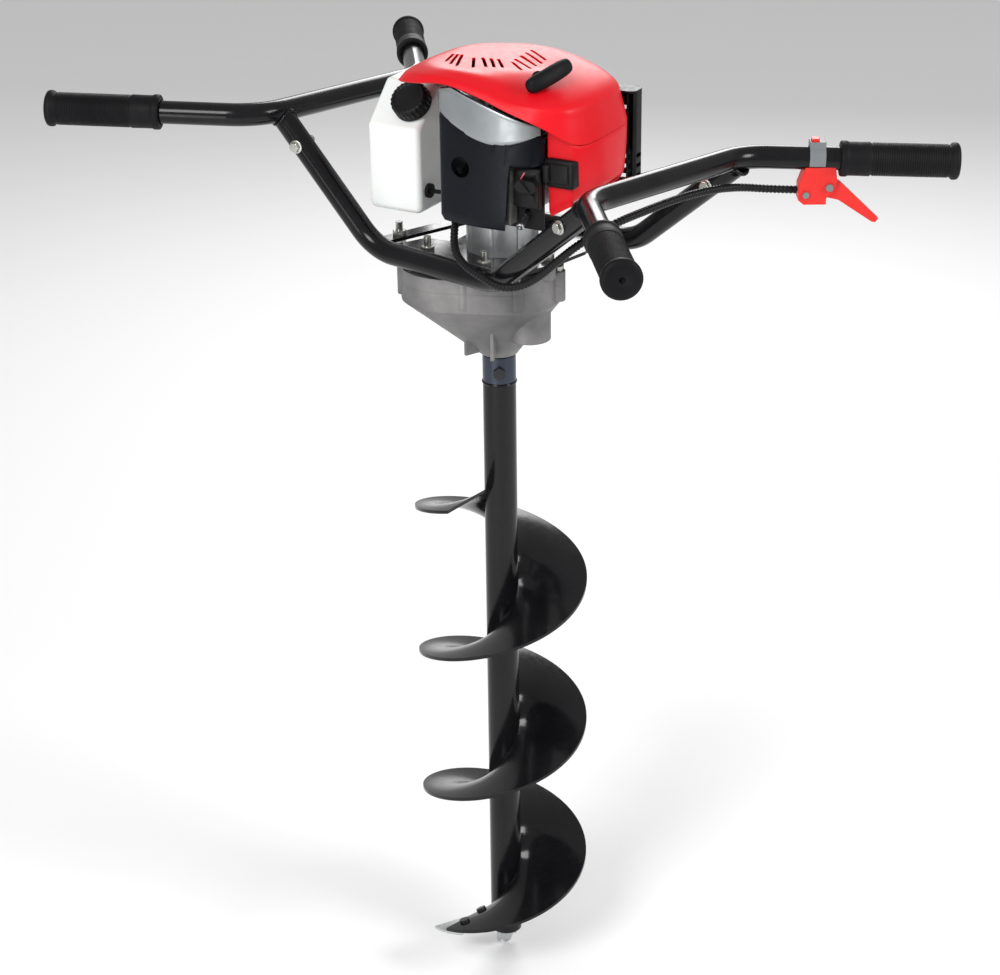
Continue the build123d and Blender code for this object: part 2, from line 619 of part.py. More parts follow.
def cover_blank(inset):
    """Filter cover's outer form: a bowed front with a sloping top."""
    left = COVER_LEFT + inset
    right = COVER_RIGHT - inset
    front = COVER_FRONT + inset
    bow = front + 22
    outline = Polyline((right, bow), (right, COVER_BACK), (left, COVER_BACK), (left, front + 12))
    nose = ThreePointArc((left, front + 12), ((left + right) / 2 - 14, front), (right, bow))
    plan = make_face(outline + nose)
    body = Pos(0, 0, COVER_FOOT + inset) * extrude(plan, 170)
    slope = degrees(atan2(COVER_TOP_LEFT - COVER_TOP_RIGHT, COVER_RIGHT - COVER_LEFT))
    top = Pos(COVER_LEFT, -90, COVER_TOP_LEFT - inset) * Rot(0, slope, 0) * block(-60, 240, -60, 60, 0, 120)
    return body - top


def filter_cover():
    """Black moulded filter cover with the recess of its screw."""
    notch = block(NOTCH_LEFT, 200, -140, -60, COVER_FOOT - 5, NOTCH_TOP)
    inner_notch = block(NOTCH_LEFT - 2.5, 200, -140, -60, COVER_FOOT - 5, NOTCH_TOP + 2.5)
    shell = (cover_blank(0) - notch) - (cover_blank(2.5) - inner_notch)
    shell += rod((COVER_SCREW_X, -97, 1042), (COVER_SCREW_X, -86, 1042), 13) & cover_blank(0)
    shell -= rod((COVER_SCREW_X, -110, 1042), (COVER_SCREW_X, -88, 1042), 11)
    shell -= rod((COVER_SCREW_X, -110, 1042), (COVER_SCREW_X, -80, 1042), 3.2)
    return at_engine(shell)


def filter_panel():
    """Silver panel laid on the upper part of the filter cover."""
    lower = Pos(34, -60, 1126) * Rot(90, 0, 0) * Cylinder(70, 120)
    return at_engine((Pos(0, -4.2, 0) * cover_blank(3) - cover_blank(-0.05)) & lower)


def filter_screw():
    """Knurled screw that holds the filter cover."""
    screw = rod((COVER_SCREW_X, -88.1, 1042), (COVER_SCREW_X, -71.5, 1042), 3)
    screw += rod((COVER_SCREW_X, -93, 1042), (COVER_SCREW_X, -88.05, 1042), 7)
    return at_engine(screw)


# ---- Engine: covers and starter --------------------------------------------
def dome_blank(inset):
    """Round fan cover with a shoulder and a sloping lobe over the cylinder."""
    r = DOME_RADIUS - inset
    top = DOME_TOP - inset
    profile = Plane.XZ * make_face(
        Polyline((0, DOME_FOOT - 1), (r, DOME_FOOT - 1), (r, 1106 - inset), (r - 6, 1116 - inset),
                 (66 - inset, 1134 - inset), (30, top), (0, top), close=True))
    body = revolve(profile, Axis.Z)
    lobe_foot = Pos(0, 0, DOME_FOOT - 1) * Pos(96, 0) * RectangleRounded(80 - 2 * inset, 124 - 2 * inset, 16)
    lobe_mid = Pos(0, 0, 1088 - inset) * Pos(95, 0) * RectangleRounded(76 - 2 * inset, 120 - 2 * inset, 16)
    lobe_top = Pos(0, 0, 1117 - inset) * Pos(62, 0) * RectangleRounded(70 - 2 * inset, 96 - 2 * inset, 16)
    return body + loft([lobe_foot, lobe_mid], ruled=True) + loft([lobe_mid, lobe_top], ruled=True)


def dome_clearance(extra):
    """Room that the filter cover, the tank and its cap take out of the dome."""
    slope = degrees(atan2(COVER_TOP_LEFT - COVER_TOP_RIGHT, COVER_RIGHT - COVER_LEFT))
    room = block(-60, 240, -60, -COVER_BACK_ROOM + 90 + extra, -120, 0)
    under_cover = Pos(COVER_LEFT, -90, COVER_TOP_LEFT + 1 + extra) * Rot(0, slope, 0) * room
    under_cover &= block(COVER_LEFT - 60, 200, -140, -COVER_BACK_ROOM + extra, 1000, 1200)
    tank = block(-200, TANK_RIGHT + 2 + extra, -60 - extra, 60 + extra, 1000, TANK_TOP + 2 + extra)
    cap = rod(cap_point(-30), cap_point(40), CAP_RADIUS + 3 + extra)
    return under_cover + tank + cap


def recoil_housing():
    """Red top cover: dome, shoulder, radial air slots and the starter rope's hole."""
    outer = dome_blank(0) - dome_clearance(0) - block(-200, 200, -200, 200, 1000, DOME_FOOT)
    inner = dome_blank(SHELL_WALL) - dome_clearance(SHELL_WALL)
    body = outer - inner
    for first in (-74, -112, -150, 10, 60, 110, 150):
        for index in range(4):
            slot = Pos(49, 0, 1130) * Box(26, 2.6, 40)
            body -= Rot(0, 0, first + 8 * index) * slot
    body -= rod(rope_point(-14), rope_point(20), 4.5)
    return at_engine(body)


def rope_point(distance):
    """Point on the starter rope's line, from its exit in the cover."""
    start = Vector(*ROPE_EXIT)
    return tuple(start + Vector(*ROPE_PULL) * distance)


def recoil_reel():
    """Rope reel above the flywheel with its groove and spring hub."""
    reel = post(44, 1104, 1106.5) + post(30, 1106, 1115) + post(44, 1114.5, 1117)
    reel += post(11, 1102, 1104.5)
    reel -= post(6, 1100, 1120)
    return at_engine(reel)


def starter_rope():
    """Starter rope from the reel's groove to the grip."""
    route = [(-0.8, -31.7, 1110.7), (34, -31.7, 1110.9), rope_point(-12), rope_point(16)]
    return at_engine(bent_solid(route, [10, 10], 1.6))


def starter_grip():
    """T-shaped pull grip with its stem."""
    across = Vector(0.50, 0.80, 0.33).normalized()
    centre = Vector(*rope_point(25))
    low = tuple(centre - across * 28)
    high = tuple(centre + across * 28)
    bar = rod(low, high, 7.5) + Pos(*low) * Sphere(7.5) + Pos(*high) * Sphere(7.5)
    stem = rod(rope_point(7), tuple(centre), 5.5)
    bore = rod(rope_point(0), rope_point(16.05), 1.65)
    return at_engine(bar + stem - bore)


def shroud_blank(inset):
    """Shroud's outer form."""
    blank = block(38 + inset, SHROUD_END - inset, -66 + inset, 58 - inset, 984 - inset, DOME_FOOT - 0.5)
    return fillet(blank.edges().filter_by(Axis.Z), 18 - inset)


def engine_shroud():
    """Red cylinder shroud: open below and inside, notched for the plug boot."""
    body = shroud_blank(0) - shroud_blank(SHELL_WALL)
    body -= block(-10, 92.5, -80, -30, 970, 1080)
    body -= block(20, 60, -80, 80, 970, 1080)
    body -= block(90, 128.5, -80, -50, 1006.5, 1051.5)
    body -= block(0, 110, 36, 80, 970, 1066)
    return at_engine(body)


# ---- Fuel system ------------------------------------------------------------
def cap_point(distance):
    """Point on the fuel cap's axis, from the tank's sloping shoulder outwards."""
    return tuple(Vector(*CAP_SEAT) + CAP_TILT * distance)


def tank_blank(inset):
    """Tank's outer form: rounded box with a sloping front shoulder."""
    w = TANK_HALF_WIDTH - inset
    profile = Polyline(
        (-w, TANK_FOOT + inset), (w, TANK_FOOT + inset), (w, TANK_TOP - inset - 14), (w - 14, TANK_TOP - inset),
        (-6, TANK_TOP - inset), (-w, TANK_TOP - inset - 42), close=True)
    face = Plane(origin=(TANK_LEFT + inset, 0, 0), x_dir=(0, 1, 0), z_dir=(1, 0, 0)) * make_face(profile)
    return extrude(face, TANK_RIGHT - TANK_LEFT - 2 * inset)


def fuel_tank():
    """Moulded tank with its filler neck."""
    body = fillet(tank_blank(0).edges(), 7)
    body += rod(cap_point(-2), cap_point(9), 15)
    body -= fillet(tank_blank(2.2).edges(), 5)
    body -= rod(cap_point(-8), cap_point(10), 12.5)
    body -= rod((TANK_RIGHT - 8, -30, 986), (TANK_RIGHT + 2, -30, 986), 5)
    return at_engine(body)


def fuel_cap():
    """Screw cap with ribs round its skirt."""
    cap = rod(cap_point(1.0), cap_point(18), CAP_RADIUS) - rod(cap_point(0), cap_point(13), 15.3)
    plane = Plane(origin=cap_point(9.5), z_dir=tuple(CAP_TILT))
    for index in range(18):
        cap += plane * Rot(0, 0, 20 * index) * Pos(CAP_RADIUS, 0, 0) * Cylinder(1.2, 15)
    return at_engine(cap)


def fuel_line():
    """Tank grommet and the fuel hose to the carburettor."""
    grommet = rod((TANK_RIGHT - 3.5, -30, 986), (TANK_RIGHT + 4, -30, 986), 4.95)
    grommet += rod((TANK_RIGHT + 0.05, -30, 986), (TANK_RIGHT + 4, -30, 986), 8)
    route = [(TANK_RIGHT + 2, -30, 986), (-52, -34, 988), (-28, -44, 998), (-4, -54, 1010),
             (16, -56, 1017), (37.7, -54, 1018)]
    hose = bent_tube(route, hose_radii(route), 2.4, 0.9)
    return at_engine(grommet + hose)


def hose_radii(route):
    """Largest arcs that a hose's or cable's runs allow."""
    radii = []
    for before, here, after in zip(route, route[1:], route[2:]):
        run_in = Vector(*here) - Vector(*before)
        run_out = Vector(*after) - Vector(*here)
        turn = run_in.get_angle(run_out)
        shorter = min(run_in.length, run_out.length)
        radii.append(round(0.45 * shorter / tan(radians(turn / 2)), 1))
    return radii


# ---- Frame ------------------------------------------------------------------
def handlebar(points):
    """Bent tube that carries a grip on each end."""
    return bent_tube(bar_centre(points), BAR_BEND, TUBE_RADIUS, TUBE_RADIUS - TUBE_WALL)


def cradle_tube(points):
    """Low bent tube from one handlebar, past the plate, to the other handlebar."""
    run = [toward(points[0], points[1], -COPE), *points[1:-1], toward(points[-1], points[-2], -COPE)]
    return bent_tube(run, CRADLE_BEND, TUBE_RADIUS, TUBE_RADIUS - TUBE_WALL)


def bar_centre(points):
    """Handlebar path with its ends inside the grips."""
    return [toward(points[0], points[1], 4), *points[1:-1], toward(points[-1], points[-2], 4)]


def cradle_plate():
    """Flat plate between the low tubes, with a strap to the rear bend."""
    outline = [(-134, 2), (-112, 14), (-80, 34), (-50, 20), (-24, 60), (-4, 118), (30, 104),
               (120, 42), (96, -20), (60, -60), (-2, -111)]
    plate = Pos(0, 0, PLATE_FOOT) * extrude(make_face(Polyline(*outline, close=True)), PLATE_TOP - PLATE_FOOT)
    strap = Pos(-66, 78, (PLATE_FOOT + PLATE_TOP) / 2) * Rot(0, 0, 37) * Box(176, 18, PLATE_TOP - PLATE_FOOT)
    plate += strap
    plate -= post(11, PLATE_FOOT - 1, PLATE_TOP + 1, ENGINE_X)
    for x, y in PLATE_BOLTS:
        plate -= post(4.2, PLATE_FOOT - 1, PLATE_TOP + 1, x, y)
    plate -= post(4.2, PLATE_FOOT - 1, PLATE_TOP + 1, *STRAP_BOLT)
    for cradle in (FRONT_CRADLE, REAR_CRADLE):
        plate -= bent_solid(cradle, CRADLE_BEND, TUBE_RADIUS)
    return plate


def frame_bolts():
    """Bolts of the plate, the strap and the four joints between bars and cradle."""
    bolts = []
    for x, y in PLATE_BOLTS:
        bolts.append(post(4, COVER_TOP - 2.9, PLATE_TOP + 18, x, y))
        bolts.append(Pos(x, y, PLATE_TOP) * (extrude(RegularPolygon(7.5, 6), 6.5) - Cylinder(4.01, 40)))
    bolts.append(hex_bolt((*STRAP_BOLT, PLATE_FOOT), (*STRAP_BOLT, PLATE_TOP + 16), 4, 7.5, 4))
    return bolts


def grip(tip, inward):
    """Moulded hand grip: end flange, ribbed body and inner collar."""
    axis = Vector(*inward) - Vector(*tip)
    plane = Plane(origin=tip, z_dir=axis)
    body = Pos(0, 0, 1.5) * Cylinder(GRIP_RADIUS, 3) + Pos(0, 0, 6) * Cylinder(FLANGE_RADIUS, 6)
    body += Pos(0, 0, GRIP_LENGTH / 2) * Cylinder(GRIP_RADIUS - 1, GRIP_LENGTH - 6)
    for index in range(24):
        body += Pos(0, 0, 14 + 3.6 * index) * Cylinder(GRIP_RADIUS, 2)
    body += Pos(0, 0, GRIP_LENGTH - 10) * Cylinder(GRIP_RADIUS - 0.2, 18)
    body -= Pos(0, 0, 4 + GRIP_LENGTH / 2) * Cylinder(TUBE_RADIUS, GRIP_LENGTH)
    body -= Cylinder(2.5, 12)
    return plane * body


# ---- Throttle control --------------------------------------------------------
def trigger_housing():
    """Two-piece throttle housing clamped under the right bar."""
    outline = [(322, 1008), (329, 1028), (361, 1028), (363, 1014), (361, 1003),
               (352, 994), (352, 987), (328, 987), (322, 992)]
    face = Plane(origin=(0, -50, 0), x_dir=(1, 0, 0), z_dir=(0, -1, 0)) * make_face(Polyline(*outline, close=True))
    body = extrude(face, 10, both=True)
    body -= clamp_ring(300, 380, TUBE_RADIUS + 0.05)
    body -= block(340, 380, -54.2, -45.8, 980, 1019)
    body -= rod((355, -70, 1006), (355, -30, 1006), 2.05)
    body -= rod((310, -50, 1001), (345, -50, 1001), 1.6)
    return body


def clamp_ring(x0, x1, radius):
    """Round bar on the right handlebar's own centre line."""
    outer = Vector(*RIGHT_BAR[0])
    inner = Vector(*RIGHT_BAR[1])
    span = outer - inner
    start = inner + span * ((x0 - inner.X) / span.X)
    end = inner + span * ((x1 - inner.X) / span.X)
    return rod(tuple(start), tuple(end), radius)


def trigger_lever():
    """Throttle lever with its hinge boss and long finger blade."""
    hx, hy, hz = THROTTLE_HINGE
    outline = [(hx - 6, hz + 4), (hx + 4, hz + 7), (hx + 12, hz + 4), (410, 968.5), (407, 964.5), (403, 965),
               (366, 990), (354, 993), (347, 998)]
    face = Plane(origin=(0, hy, 0), x_dir=(1, 0, 0), z_dir=(0, -1, 0)) * make_face(Polyline(*outline, close=True))
    lever = extrude(face, 3.9, both=True)
    lever -= rod((hx, hy - 30, hz), (hx, hy + 30, hz), 2.6)
    return lever


def throttle_fittings():
    """Hinge screw, closing screw and the steel strap of the throttle housing."""
    hx, hy, hz = THROTTLE_HINGE
    hinge = rod((hx, hy - 12, hz), (hx, hy + 12, hz), 2.0) + rod((hx, hy - 13, hz), (hx, hy - 10.05, hz), 4)
    closing = rod((330, -63, 998), (330, -60.05, 998), 3.5)
    strap = clamp_ring(333, 350, 14.5) + block(333, 350, -58, -42, 1040, 1055)
    strap -= clamp_ring(331, 352, TUBE_RADIUS + 0.05)
    strap -= block(300, 380, -90, 0, 990, 1029.5)
    strap -= block(334.7, 343.3, -56.3, -46.7, 1052.2, 1060)
    return [hinge, closing, strap]


def stop_button():
    """Stop button that is pressed down into the strap's head."""
    return block(335, 343, -56, -47, 1054.2, 1058.5)


def throttle_conduit():
    """Corrugated conduit of the throttle cable and stop wires along the frame."""
    return bent_tube(CONDUIT, hose_radii(CONDUIT), CABLE_RADIUS, 2.0)


# ---- Write -------------------------------------------------------------------
def bar_joints_cut(shape, bars):
    """Take the handlebars' own solids out of a cradle tube."""
    for bar in bars:
        shape -= bent_solid(bar_centre(bar), BAR_BEND, TUBE_RADIUS)
    return max(shape.solids(), key=lambda solid: solid.volume)


def write(name, shape):
    """Write one node as a STEP file, keeping only its solids."""
    pieces = shape if isinstance(shape, list) else [shape]
    solids = [solid for piece in pieces for solid in piece.solids()]
    whole = solids[0] if len(solids) == 1 else Compound(children=solids)
    whole.label = name
    export_step(whole, f"parts/{name}.step")


def write_bit():
    """Write what turns with the drill."""
    write("auger_tube", auger_tube())
    write("auger_flight", auger_flight())
    write("cutting_blade", cutting_blade())
    write("pilot_point", pilot_point())
    write("auger_socket", auger_socket())
    write("auger_bolts", auger_bolts())
    write("output_shaft", output_shaft())
    write("output_gear", output_gear())


def write_gearbox():
    """Write the gearbox and its train."""
    write("gearbox_housing", gearbox_housing())
    write("gearbox_cover", gearbox_cover())
    write("gearbox_screws", gearbox_screws())
    write("ball_bearings", ball_bearings())
    write("oil_seal", oil_seal())
    write("idler_shaft", idler_shaft())
    write("clutch_drum", clutch_drum())


def write_engine():
    """Write the engine's working parts and covers."""
    write("clutch_housing", clutch_housing())
    write("clutch_shoes", clutch_shoes())
    write("crankshaft", crankshaft())
    write("flywheel", flywheel())
    write("crankcase", crankcase())
    write("cylinder", cylinder())
    write("piston", piston())
    write("connecting_rod", connecting_rod())
    write("spark_plug", spark_plug())
    write("plug_boot", plug_boot())
    write("ignition_coil", ignition_coil())
    write("muffler", muffler())
    write("muffler_guard", muffler_guard())
    write("carburettor", carburettor())
    write("throttle_arm", throttle_arm())
    write("idle_screw", idle_screw())
    write("choke_lever", choke_lever())
    write("filter_base", filter_base())
    write("filter_element", filter_element())
    write("filter_cover", filter_cover())
    write("filter_panel", filter_panel())
    write("filter_screw", filter_screw())
    write("recoil_housing", recoil_housing())
    write("recoil_reel", recoil_reel())
    write("starter_rope", starter_rope())
    write("starter_grip", starter_grip())
    write("engine_shroud", engine_shroud())
    write("fuel_tank", fuel_tank())
    write("fuel_cap", fuel_cap())
    write("fuel_line", fuel_line())


def write_frame():
    """Write the cradle, the handlebars, the grips and the throttle control."""
    write("right_handlebar", handlebar(RIGHT_BAR))
    write("left_handlebar", handlebar(LEFT_BAR))
    write("front_cradle_tube", bar_joints_cut(cradle_tube(FRONT_CRADLE), (LEFT_BAR, RIGHT_BAR)))
    write("rear_cradle_tube", bar_joints_cut(cradle_tube(REAR_CRADLE), (LEFT_BAR, RIGHT_BAR)))
    write("cradle_plate", cradle_plate())
    write("frame_bolts", frame_bolts())
    write("right_grip", grip(RIGHT_BAR[0], RIGHT_BAR[1]))
    write("front_grip", grip(RIGHT_BAR[3], RIGHT_BAR[2]))
    write("left_grip", grip(LEFT_BAR[0], LEFT_BAR[1]))
    write("back_grip", grip(LEFT_BAR[3], LEFT_BAR[2]))
    write("trigger_housing", trigger_housing())
    write("trigger_lever", trigger_lever())
    write("throttle_fittings", throttle_fittings())
    write("stop_button", stop_button())
    write("throttle_conduit", throttle_conduit())


write_bit()
write_gearbox()
write_engine()
write_frame()
print("conduit bend radii", hose_radii(CONDUIT))
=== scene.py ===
import logging
from dataclasses import dataclass
from enum import Enum
from math import cos, pi, radians, sin
from typing import Callable, Dict, List, Optional, Sequence, Tuple

import bmesh
import bpy
from mathutils import Matrix, Vector


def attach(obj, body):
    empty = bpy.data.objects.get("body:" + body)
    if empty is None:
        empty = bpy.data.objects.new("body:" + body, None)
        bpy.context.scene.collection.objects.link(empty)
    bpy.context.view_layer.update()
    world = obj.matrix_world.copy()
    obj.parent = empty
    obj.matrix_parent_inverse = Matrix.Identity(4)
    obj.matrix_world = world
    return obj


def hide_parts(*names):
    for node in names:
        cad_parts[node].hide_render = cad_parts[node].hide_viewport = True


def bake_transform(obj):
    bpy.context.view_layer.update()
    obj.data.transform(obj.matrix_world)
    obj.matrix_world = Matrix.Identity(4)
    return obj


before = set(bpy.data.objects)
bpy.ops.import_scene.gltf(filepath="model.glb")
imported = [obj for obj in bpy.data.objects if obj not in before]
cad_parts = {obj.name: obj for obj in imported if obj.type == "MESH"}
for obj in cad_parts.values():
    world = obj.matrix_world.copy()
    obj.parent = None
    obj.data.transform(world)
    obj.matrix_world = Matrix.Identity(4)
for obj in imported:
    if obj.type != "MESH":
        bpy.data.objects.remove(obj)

log = logging.getLogger("ice_auger")
Color = Tuple[float, float, float]
Point = Tuple[float, float, float]
Span = Tuple[float, float]
Tree = bpy.types.NodeTree
Socket = bpy.types.NodeSocket
Object = bpy.types.Object
BOX_FACES = [[0, 1, 2, 3], [4, 5, 6, 7], [0, 1, 5, 4], [1, 2, 6, 5], [2, 3, 7, 6], [3, 0, 4, 7]]


# ---- Finishes ----------------------------------------------------------------
class Texture(Enum):
    """Kinds of small surface relief."""

    FINE = "fine moulded grain"
    CAST = "sand-cast skin"
    PEEL = "orange peel of a sprayed coat"
    BRUSHED = "turned or brushed lines"
    RUBBER = "matt rubber with specks"
    WEAVE = "braided cord"
    FOAM = "open foam"


@dataclass(frozen=True)
class Finish:
    """Look of one surface, in linear colour and metres."""

    color: Color
    variation: Color
    texture: Texture = Texture.FINE
    metallic: float = 0.0
    rough_low: float = 0.35
    rough_high: float = 0.5
    depth: float = 0.00003
    scale: float = 900.0
    coat: float = 0.0
    sheen: float = 0.0
    subsurface: float = 0.0
    wear: Optional[Color] = None
    wear_metallic: float = 1.0
    wear_from: float = 0.56
    edge: float = 0.0006
    dust: float = 0.02
    specular: float = 0.5


class Surface(Enum):
    """Every finish on the auger."""

    RED = Finish((0.72, 0.006, 0.014), (0.68, 0.005, 0.012), rough_low=0.36, rough_high=0.42, coat=0.0,
                 depth=0.00001, scale=700, edge=0.0012, dust=0.0, specular=0.2)
    DARK_RED = Finish((0.74, 0.016, 0.010), (0.68, 0.012, 0.009), rough_low=0.35, rough_high=0.48,
                      edge=0.0008)
    BLACK = Finish((0.006, 0.006, 0.007), (0.011, 0.011, 0.012), rough_low=0.32, rough_high=0.46,
                   depth=0.00004, scale=1300, edge=0.0007, specular=0.16, dust=0.006)
    COVER_BLACK = Finish((0.0026, 0.0034, 0.0064), (0.0042, 0.0054, 0.0095), rough_low=0.30, rough_high=0.42,
                         depth=0.00003, scale=1500, edge=0.0012, specular=0.16, dust=0.006)
    RUBBER = Finish((0.004, 0.004, 0.005), (0.009, 0.009, 0.010), Texture.RUBBER, rough_low=0.50,
                    rough_high=0.62, depth=0.00005, scale=800, edge=0.0005,
                    specular=0.14, dust=0.005)
    POWDER = Finish((0.004, 0.004, 0.005), (0.007, 0.007, 0.008), Texture.PEEL, rough_low=0.14,
                    rough_high=0.22, depth=0.00002, scale=330, coat=0.04, specular=0.22, dust=0.004)
    ENAMEL = Finish((0.004, 0.004, 0.005), (0.008, 0.008, 0.009), Texture.PEEL, rough_low=0.12,
                    rough_high=0.20, depth=0.00003, scale=160, coat=0.10, edge=0.0010,
                    specular=0.22, dust=0.006)
    CAST = Finish((0.245, 0.240, 0.238), (0.120, 0.117, 0.118), Texture.CAST, metallic=0.45, rough_low=0.46,
                  rough_high=0.60, depth=0.00008, scale=620, edge=0.0012, dust=0.0)
    DIE_CAST = Finish((0.52, 0.53, 0.54), (0.44, 0.45, 0.46), Texture.CAST, metallic=0.8, rough_low=0.34,
                      rough_high=0.46, depth=0.00006, scale=750, edge=0.0010, dust=0.0)
    STEEL = Finish((0.50, 0.51, 0.52), (0.42, 0.43, 0.44), Texture.BRUSHED, metallic=1.0, rough_low=0.24,
                   rough_high=0.38, depth=0.00003, scale=500)
    BLADE = Finish((0.60, 0.61, 0.62), (0.48, 0.49, 0.50), Texture.BRUSHED, metallic=1.0, rough_low=0.20,
                   rough_high=0.34, depth=0.00004, scale=260)
    COUPLER = Finish((0.030, 0.038, 0.058), (0.042, 0.052, 0.076), Texture.BRUSHED, metallic=0.55,
                     rough_low=0.24, rough_high=0.36, depth=0.00003, scale=420, dust=0.006)
    ZINC = Finish((0.58, 0.58, 0.54), (0.46, 0.46, 0.43), Texture.FINE, metallic=1.0, rough_low=0.28,
                  rough_high=0.42, depth=0.00003, scale=700)
    BLACK_ZINC = Finish((0.030, 0.030, 0.033), (0.055, 0.055, 0.060), metallic=0.8,
                        rough_low=0.30, rough_high=0.45, depth=0.00003, scale=700, dust=0.006)
    TANK = Finish((0.88, 0.88, 0.87), (0.83, 0.83, 0.81), rough_low=0.32, rough_high=0.44, depth=0.00004,
                  scale=500, subsurface=0.15, edge=0.0018, dust=0.0)
    SILVER = Finish((0.31, 0.33, 0.34), (0.25, 0.27, 0.28), metallic=0.6, rough_low=0.28, rough_high=0.38,
                    depth=0.00002, scale=1600, coat=0.3, dust=0.0)
    FOAM = Finish((0.14, 0.14, 0.13), (0.09, 0.09, 0.08), Texture.FOAM, rough_low=0.85, rough_high=0.95,
                  depth=0.0006, scale=260)
    ROPE = Finish((0.55, 0.55, 0.52), (0.10, 0.10, 0.11), Texture.WEAVE, rough_low=0.75, rough_high=0.9,
                  depth=0.0003, scale=420, sheen=0.2)
    GREY = Finish((0.20, 0.21, 0.22), (0.16, 0.17, 0.18), rough_low=0.40, rough_high=0.52, edge=0.0008)
    HOT_STEEL = Finish((0.26, 0.21, 0.17), (0.36, 0.34, 0.32), Texture.CAST, metallic=0.9, rough_low=0.35,
                       rough_high=0.55, depth=0.00008, scale=300)
    # Pinkish red used only for the painted highlight on the choke ledge, the red cover's reflection.
    PAINTED_RED_REFLECTION = Finish((0.62, 0.10, 0.16), (0.52, 0.07, 0.12), rough_low=0.4, rough_high=0.5)


class MaterialShop:
    """Builds each surface's node material once and hands it out."""

    def __init__(self) -> None:
        """Start with no material made."""
        self._made: Dict[str, bpy.types.Material] = {}

    def get(self, surface: Surface) -> bpy.types.Material:
        """Material of a surface.

        Args:
            surface: The finish wanted.

        Returns:
            The shared node material.
        """
        if surface.name not in self._made:
            self._made[surface.name] = self._build(surface.name.lower(), surface.value)
        return self._made[surface.name]

    def paint(self, obj: Object, surface: Surface) -> Object:
        """Put one surface on all of an object.

        Args:
            obj: The object.
            surface: Its finish.

        Returns:
            The same object.
        """
        material = self.get(surface)
        if obj.data.materials:
            for index in range(len(obj.data.materials)):
                obj.data.materials[index] = material
        else:
            obj.data.materials.append(material)
        return obj

    def _relief(self, tree: Tree, finish: Finish, where: Socket) -> Socket:
        """Height signal of a finish's small relief.

        Args:
            tree: Node tree being built.
            finish: The finish.
            where: Object coordinates.

        Returns:
            Socket with the height.
        """
        nodes, links = tree.nodes, tree.links
        noise = nodes.new("ShaderNodeTexNoise")
        noise.inputs["Scale"].default_value = finish.scale
        noise.inputs["Detail"].default_value = 3.0
        links.new(where, noise.inputs["Vector"])
        if finish.texture in (Texture.FINE, Texture.PEEL):
            return noise.outputs["Fac"]
        second: bpy.types.Node
        if finish.texture == Texture.BRUSHED:
            stretch = nodes.new("ShaderNodeMapping")
            stretch.inputs["Scale"].default_value = (1.0, 1.0, 9.0)
            links.new(where, stretch.inputs["Vector"])
            links.new(stretch.outputs["Vector"], noise.inputs["Vector"])
            return noise.outputs["Fac"]
        if finish.texture == Texture.WEAVE:
            second = nodes.new("ShaderNodeTexWave")
            second.bands_direction = "DIAGONAL"
            second.inputs["Scale"].default_value = finish.scale / 3
            second.inputs["Distortion"].default_value = 1.5
            links.new(where, second.inputs["Vector"])
            value = second.outputs["Fac"]
        else:
            second = nodes.new("ShaderNodeTexVoronoi")
            second.inputs["Scale"].default_value = finish.scale * 1.3
            links.new(where, second.inputs["Vector"])
            value = second.outputs["Distance"]
        both = nodes.new("ShaderNodeMath")
        both.operation = "ADD"
        links.new(noise.outputs["Fac"], both.inputs[0])
        links.new(value, both.inputs[1])
        return both.outputs["Value"]

    def _build(self, name: str, finish: Finish) -> bpy.types.Material:
        """Build the node material of a finish.

        Args:
            name: Material name.
            finish: The finish.

        Returns:
            The material.
        """
        material = bpy.data.materials.new(name)
        material.use_nodes = True
        tree = material.node_tree
        nodes, links = tree.nodes, tree.links
        shader = nodes["Principled BSDF"]
        shader.inputs["Coat Weight"].default_value = finish.coat
        shader.inputs["Coat Roughness"].default_value = 0.12
        shader.inputs["Sheen Weight"].default_value = finish.sheen
        shader.inputs["Subsurface Weight"].default_value = finish.subsurface
        shader.inputs["Subsurface Scale"].default_value = 0.006
        shader.inputs["Specular IOR Level"].default_value = finish.specular
        where = nodes.new("ShaderNodeTexCoord").outputs["Object"]

        patches = self._noise(tree, where, 14.0, 4.0)
        mix = self._mix(tree, patches, finish.color, finish.variation)
        fine = self._noise(tree, where, 130.0, 5.0)
        rough = self._range(tree, fine, 0.3, 0.7, finish.rough_low, finish.rough_high)

        dust = self._range(tree, self._noise(tree, where, 260.0, 6.0), 0.60, 0.72, 0.0, finish.dust)
        mix = self._mix_sockets(tree, dust, mix, self._rgb(tree, (0.55, 0.54, 0.52)))

        metal: Optional[Socket] = None
        if finish.wear is not None:
            point = nodes.new("ShaderNodeNewGeometry").outputs["Pointiness"]
            edges = self._range(tree, point, finish.wear_from - 0.04, finish.wear_from + 0.04, 0.0, 1.0)
            chips = self._range(tree, fine, 0.42, 0.60, 0.0, 1.0)
            worn = self._math(tree, "MULTIPLY", edges, chips)
            mix = self._mix_sockets(tree, worn, mix, self._rgb(tree, finish.wear))
            metal = self._range(tree, worn, 0.0, 1.0, finish.metallic, finish.wear_metallic)
        links.new(mix, shader.inputs["Base Color"])
        links.new(rough, shader.inputs["Roughness"])
        shader.inputs["Metallic"].default_value = finish.metallic
        if metal is not None:
            links.new(metal, shader.inputs["Metallic"])

        bump = nodes.new("ShaderNodeBump")
        bump.inputs["Strength"].default_value = 1.0
        bump.inputs["Distance"].default_value = finish.depth
        links.new(self._relief(tree, finish, where), bump.inputs["Height"])
        bevel = nodes.new("ShaderNodeBevel")
        bevel.samples = 4
        bevel.inputs["Radius"].default_value = finish.edge
        links.new(bevel.outputs["Normal"], bump.inputs["Normal"])
        links.new(bump.outputs["Normal"], shader.inputs["Normal"])
        return material

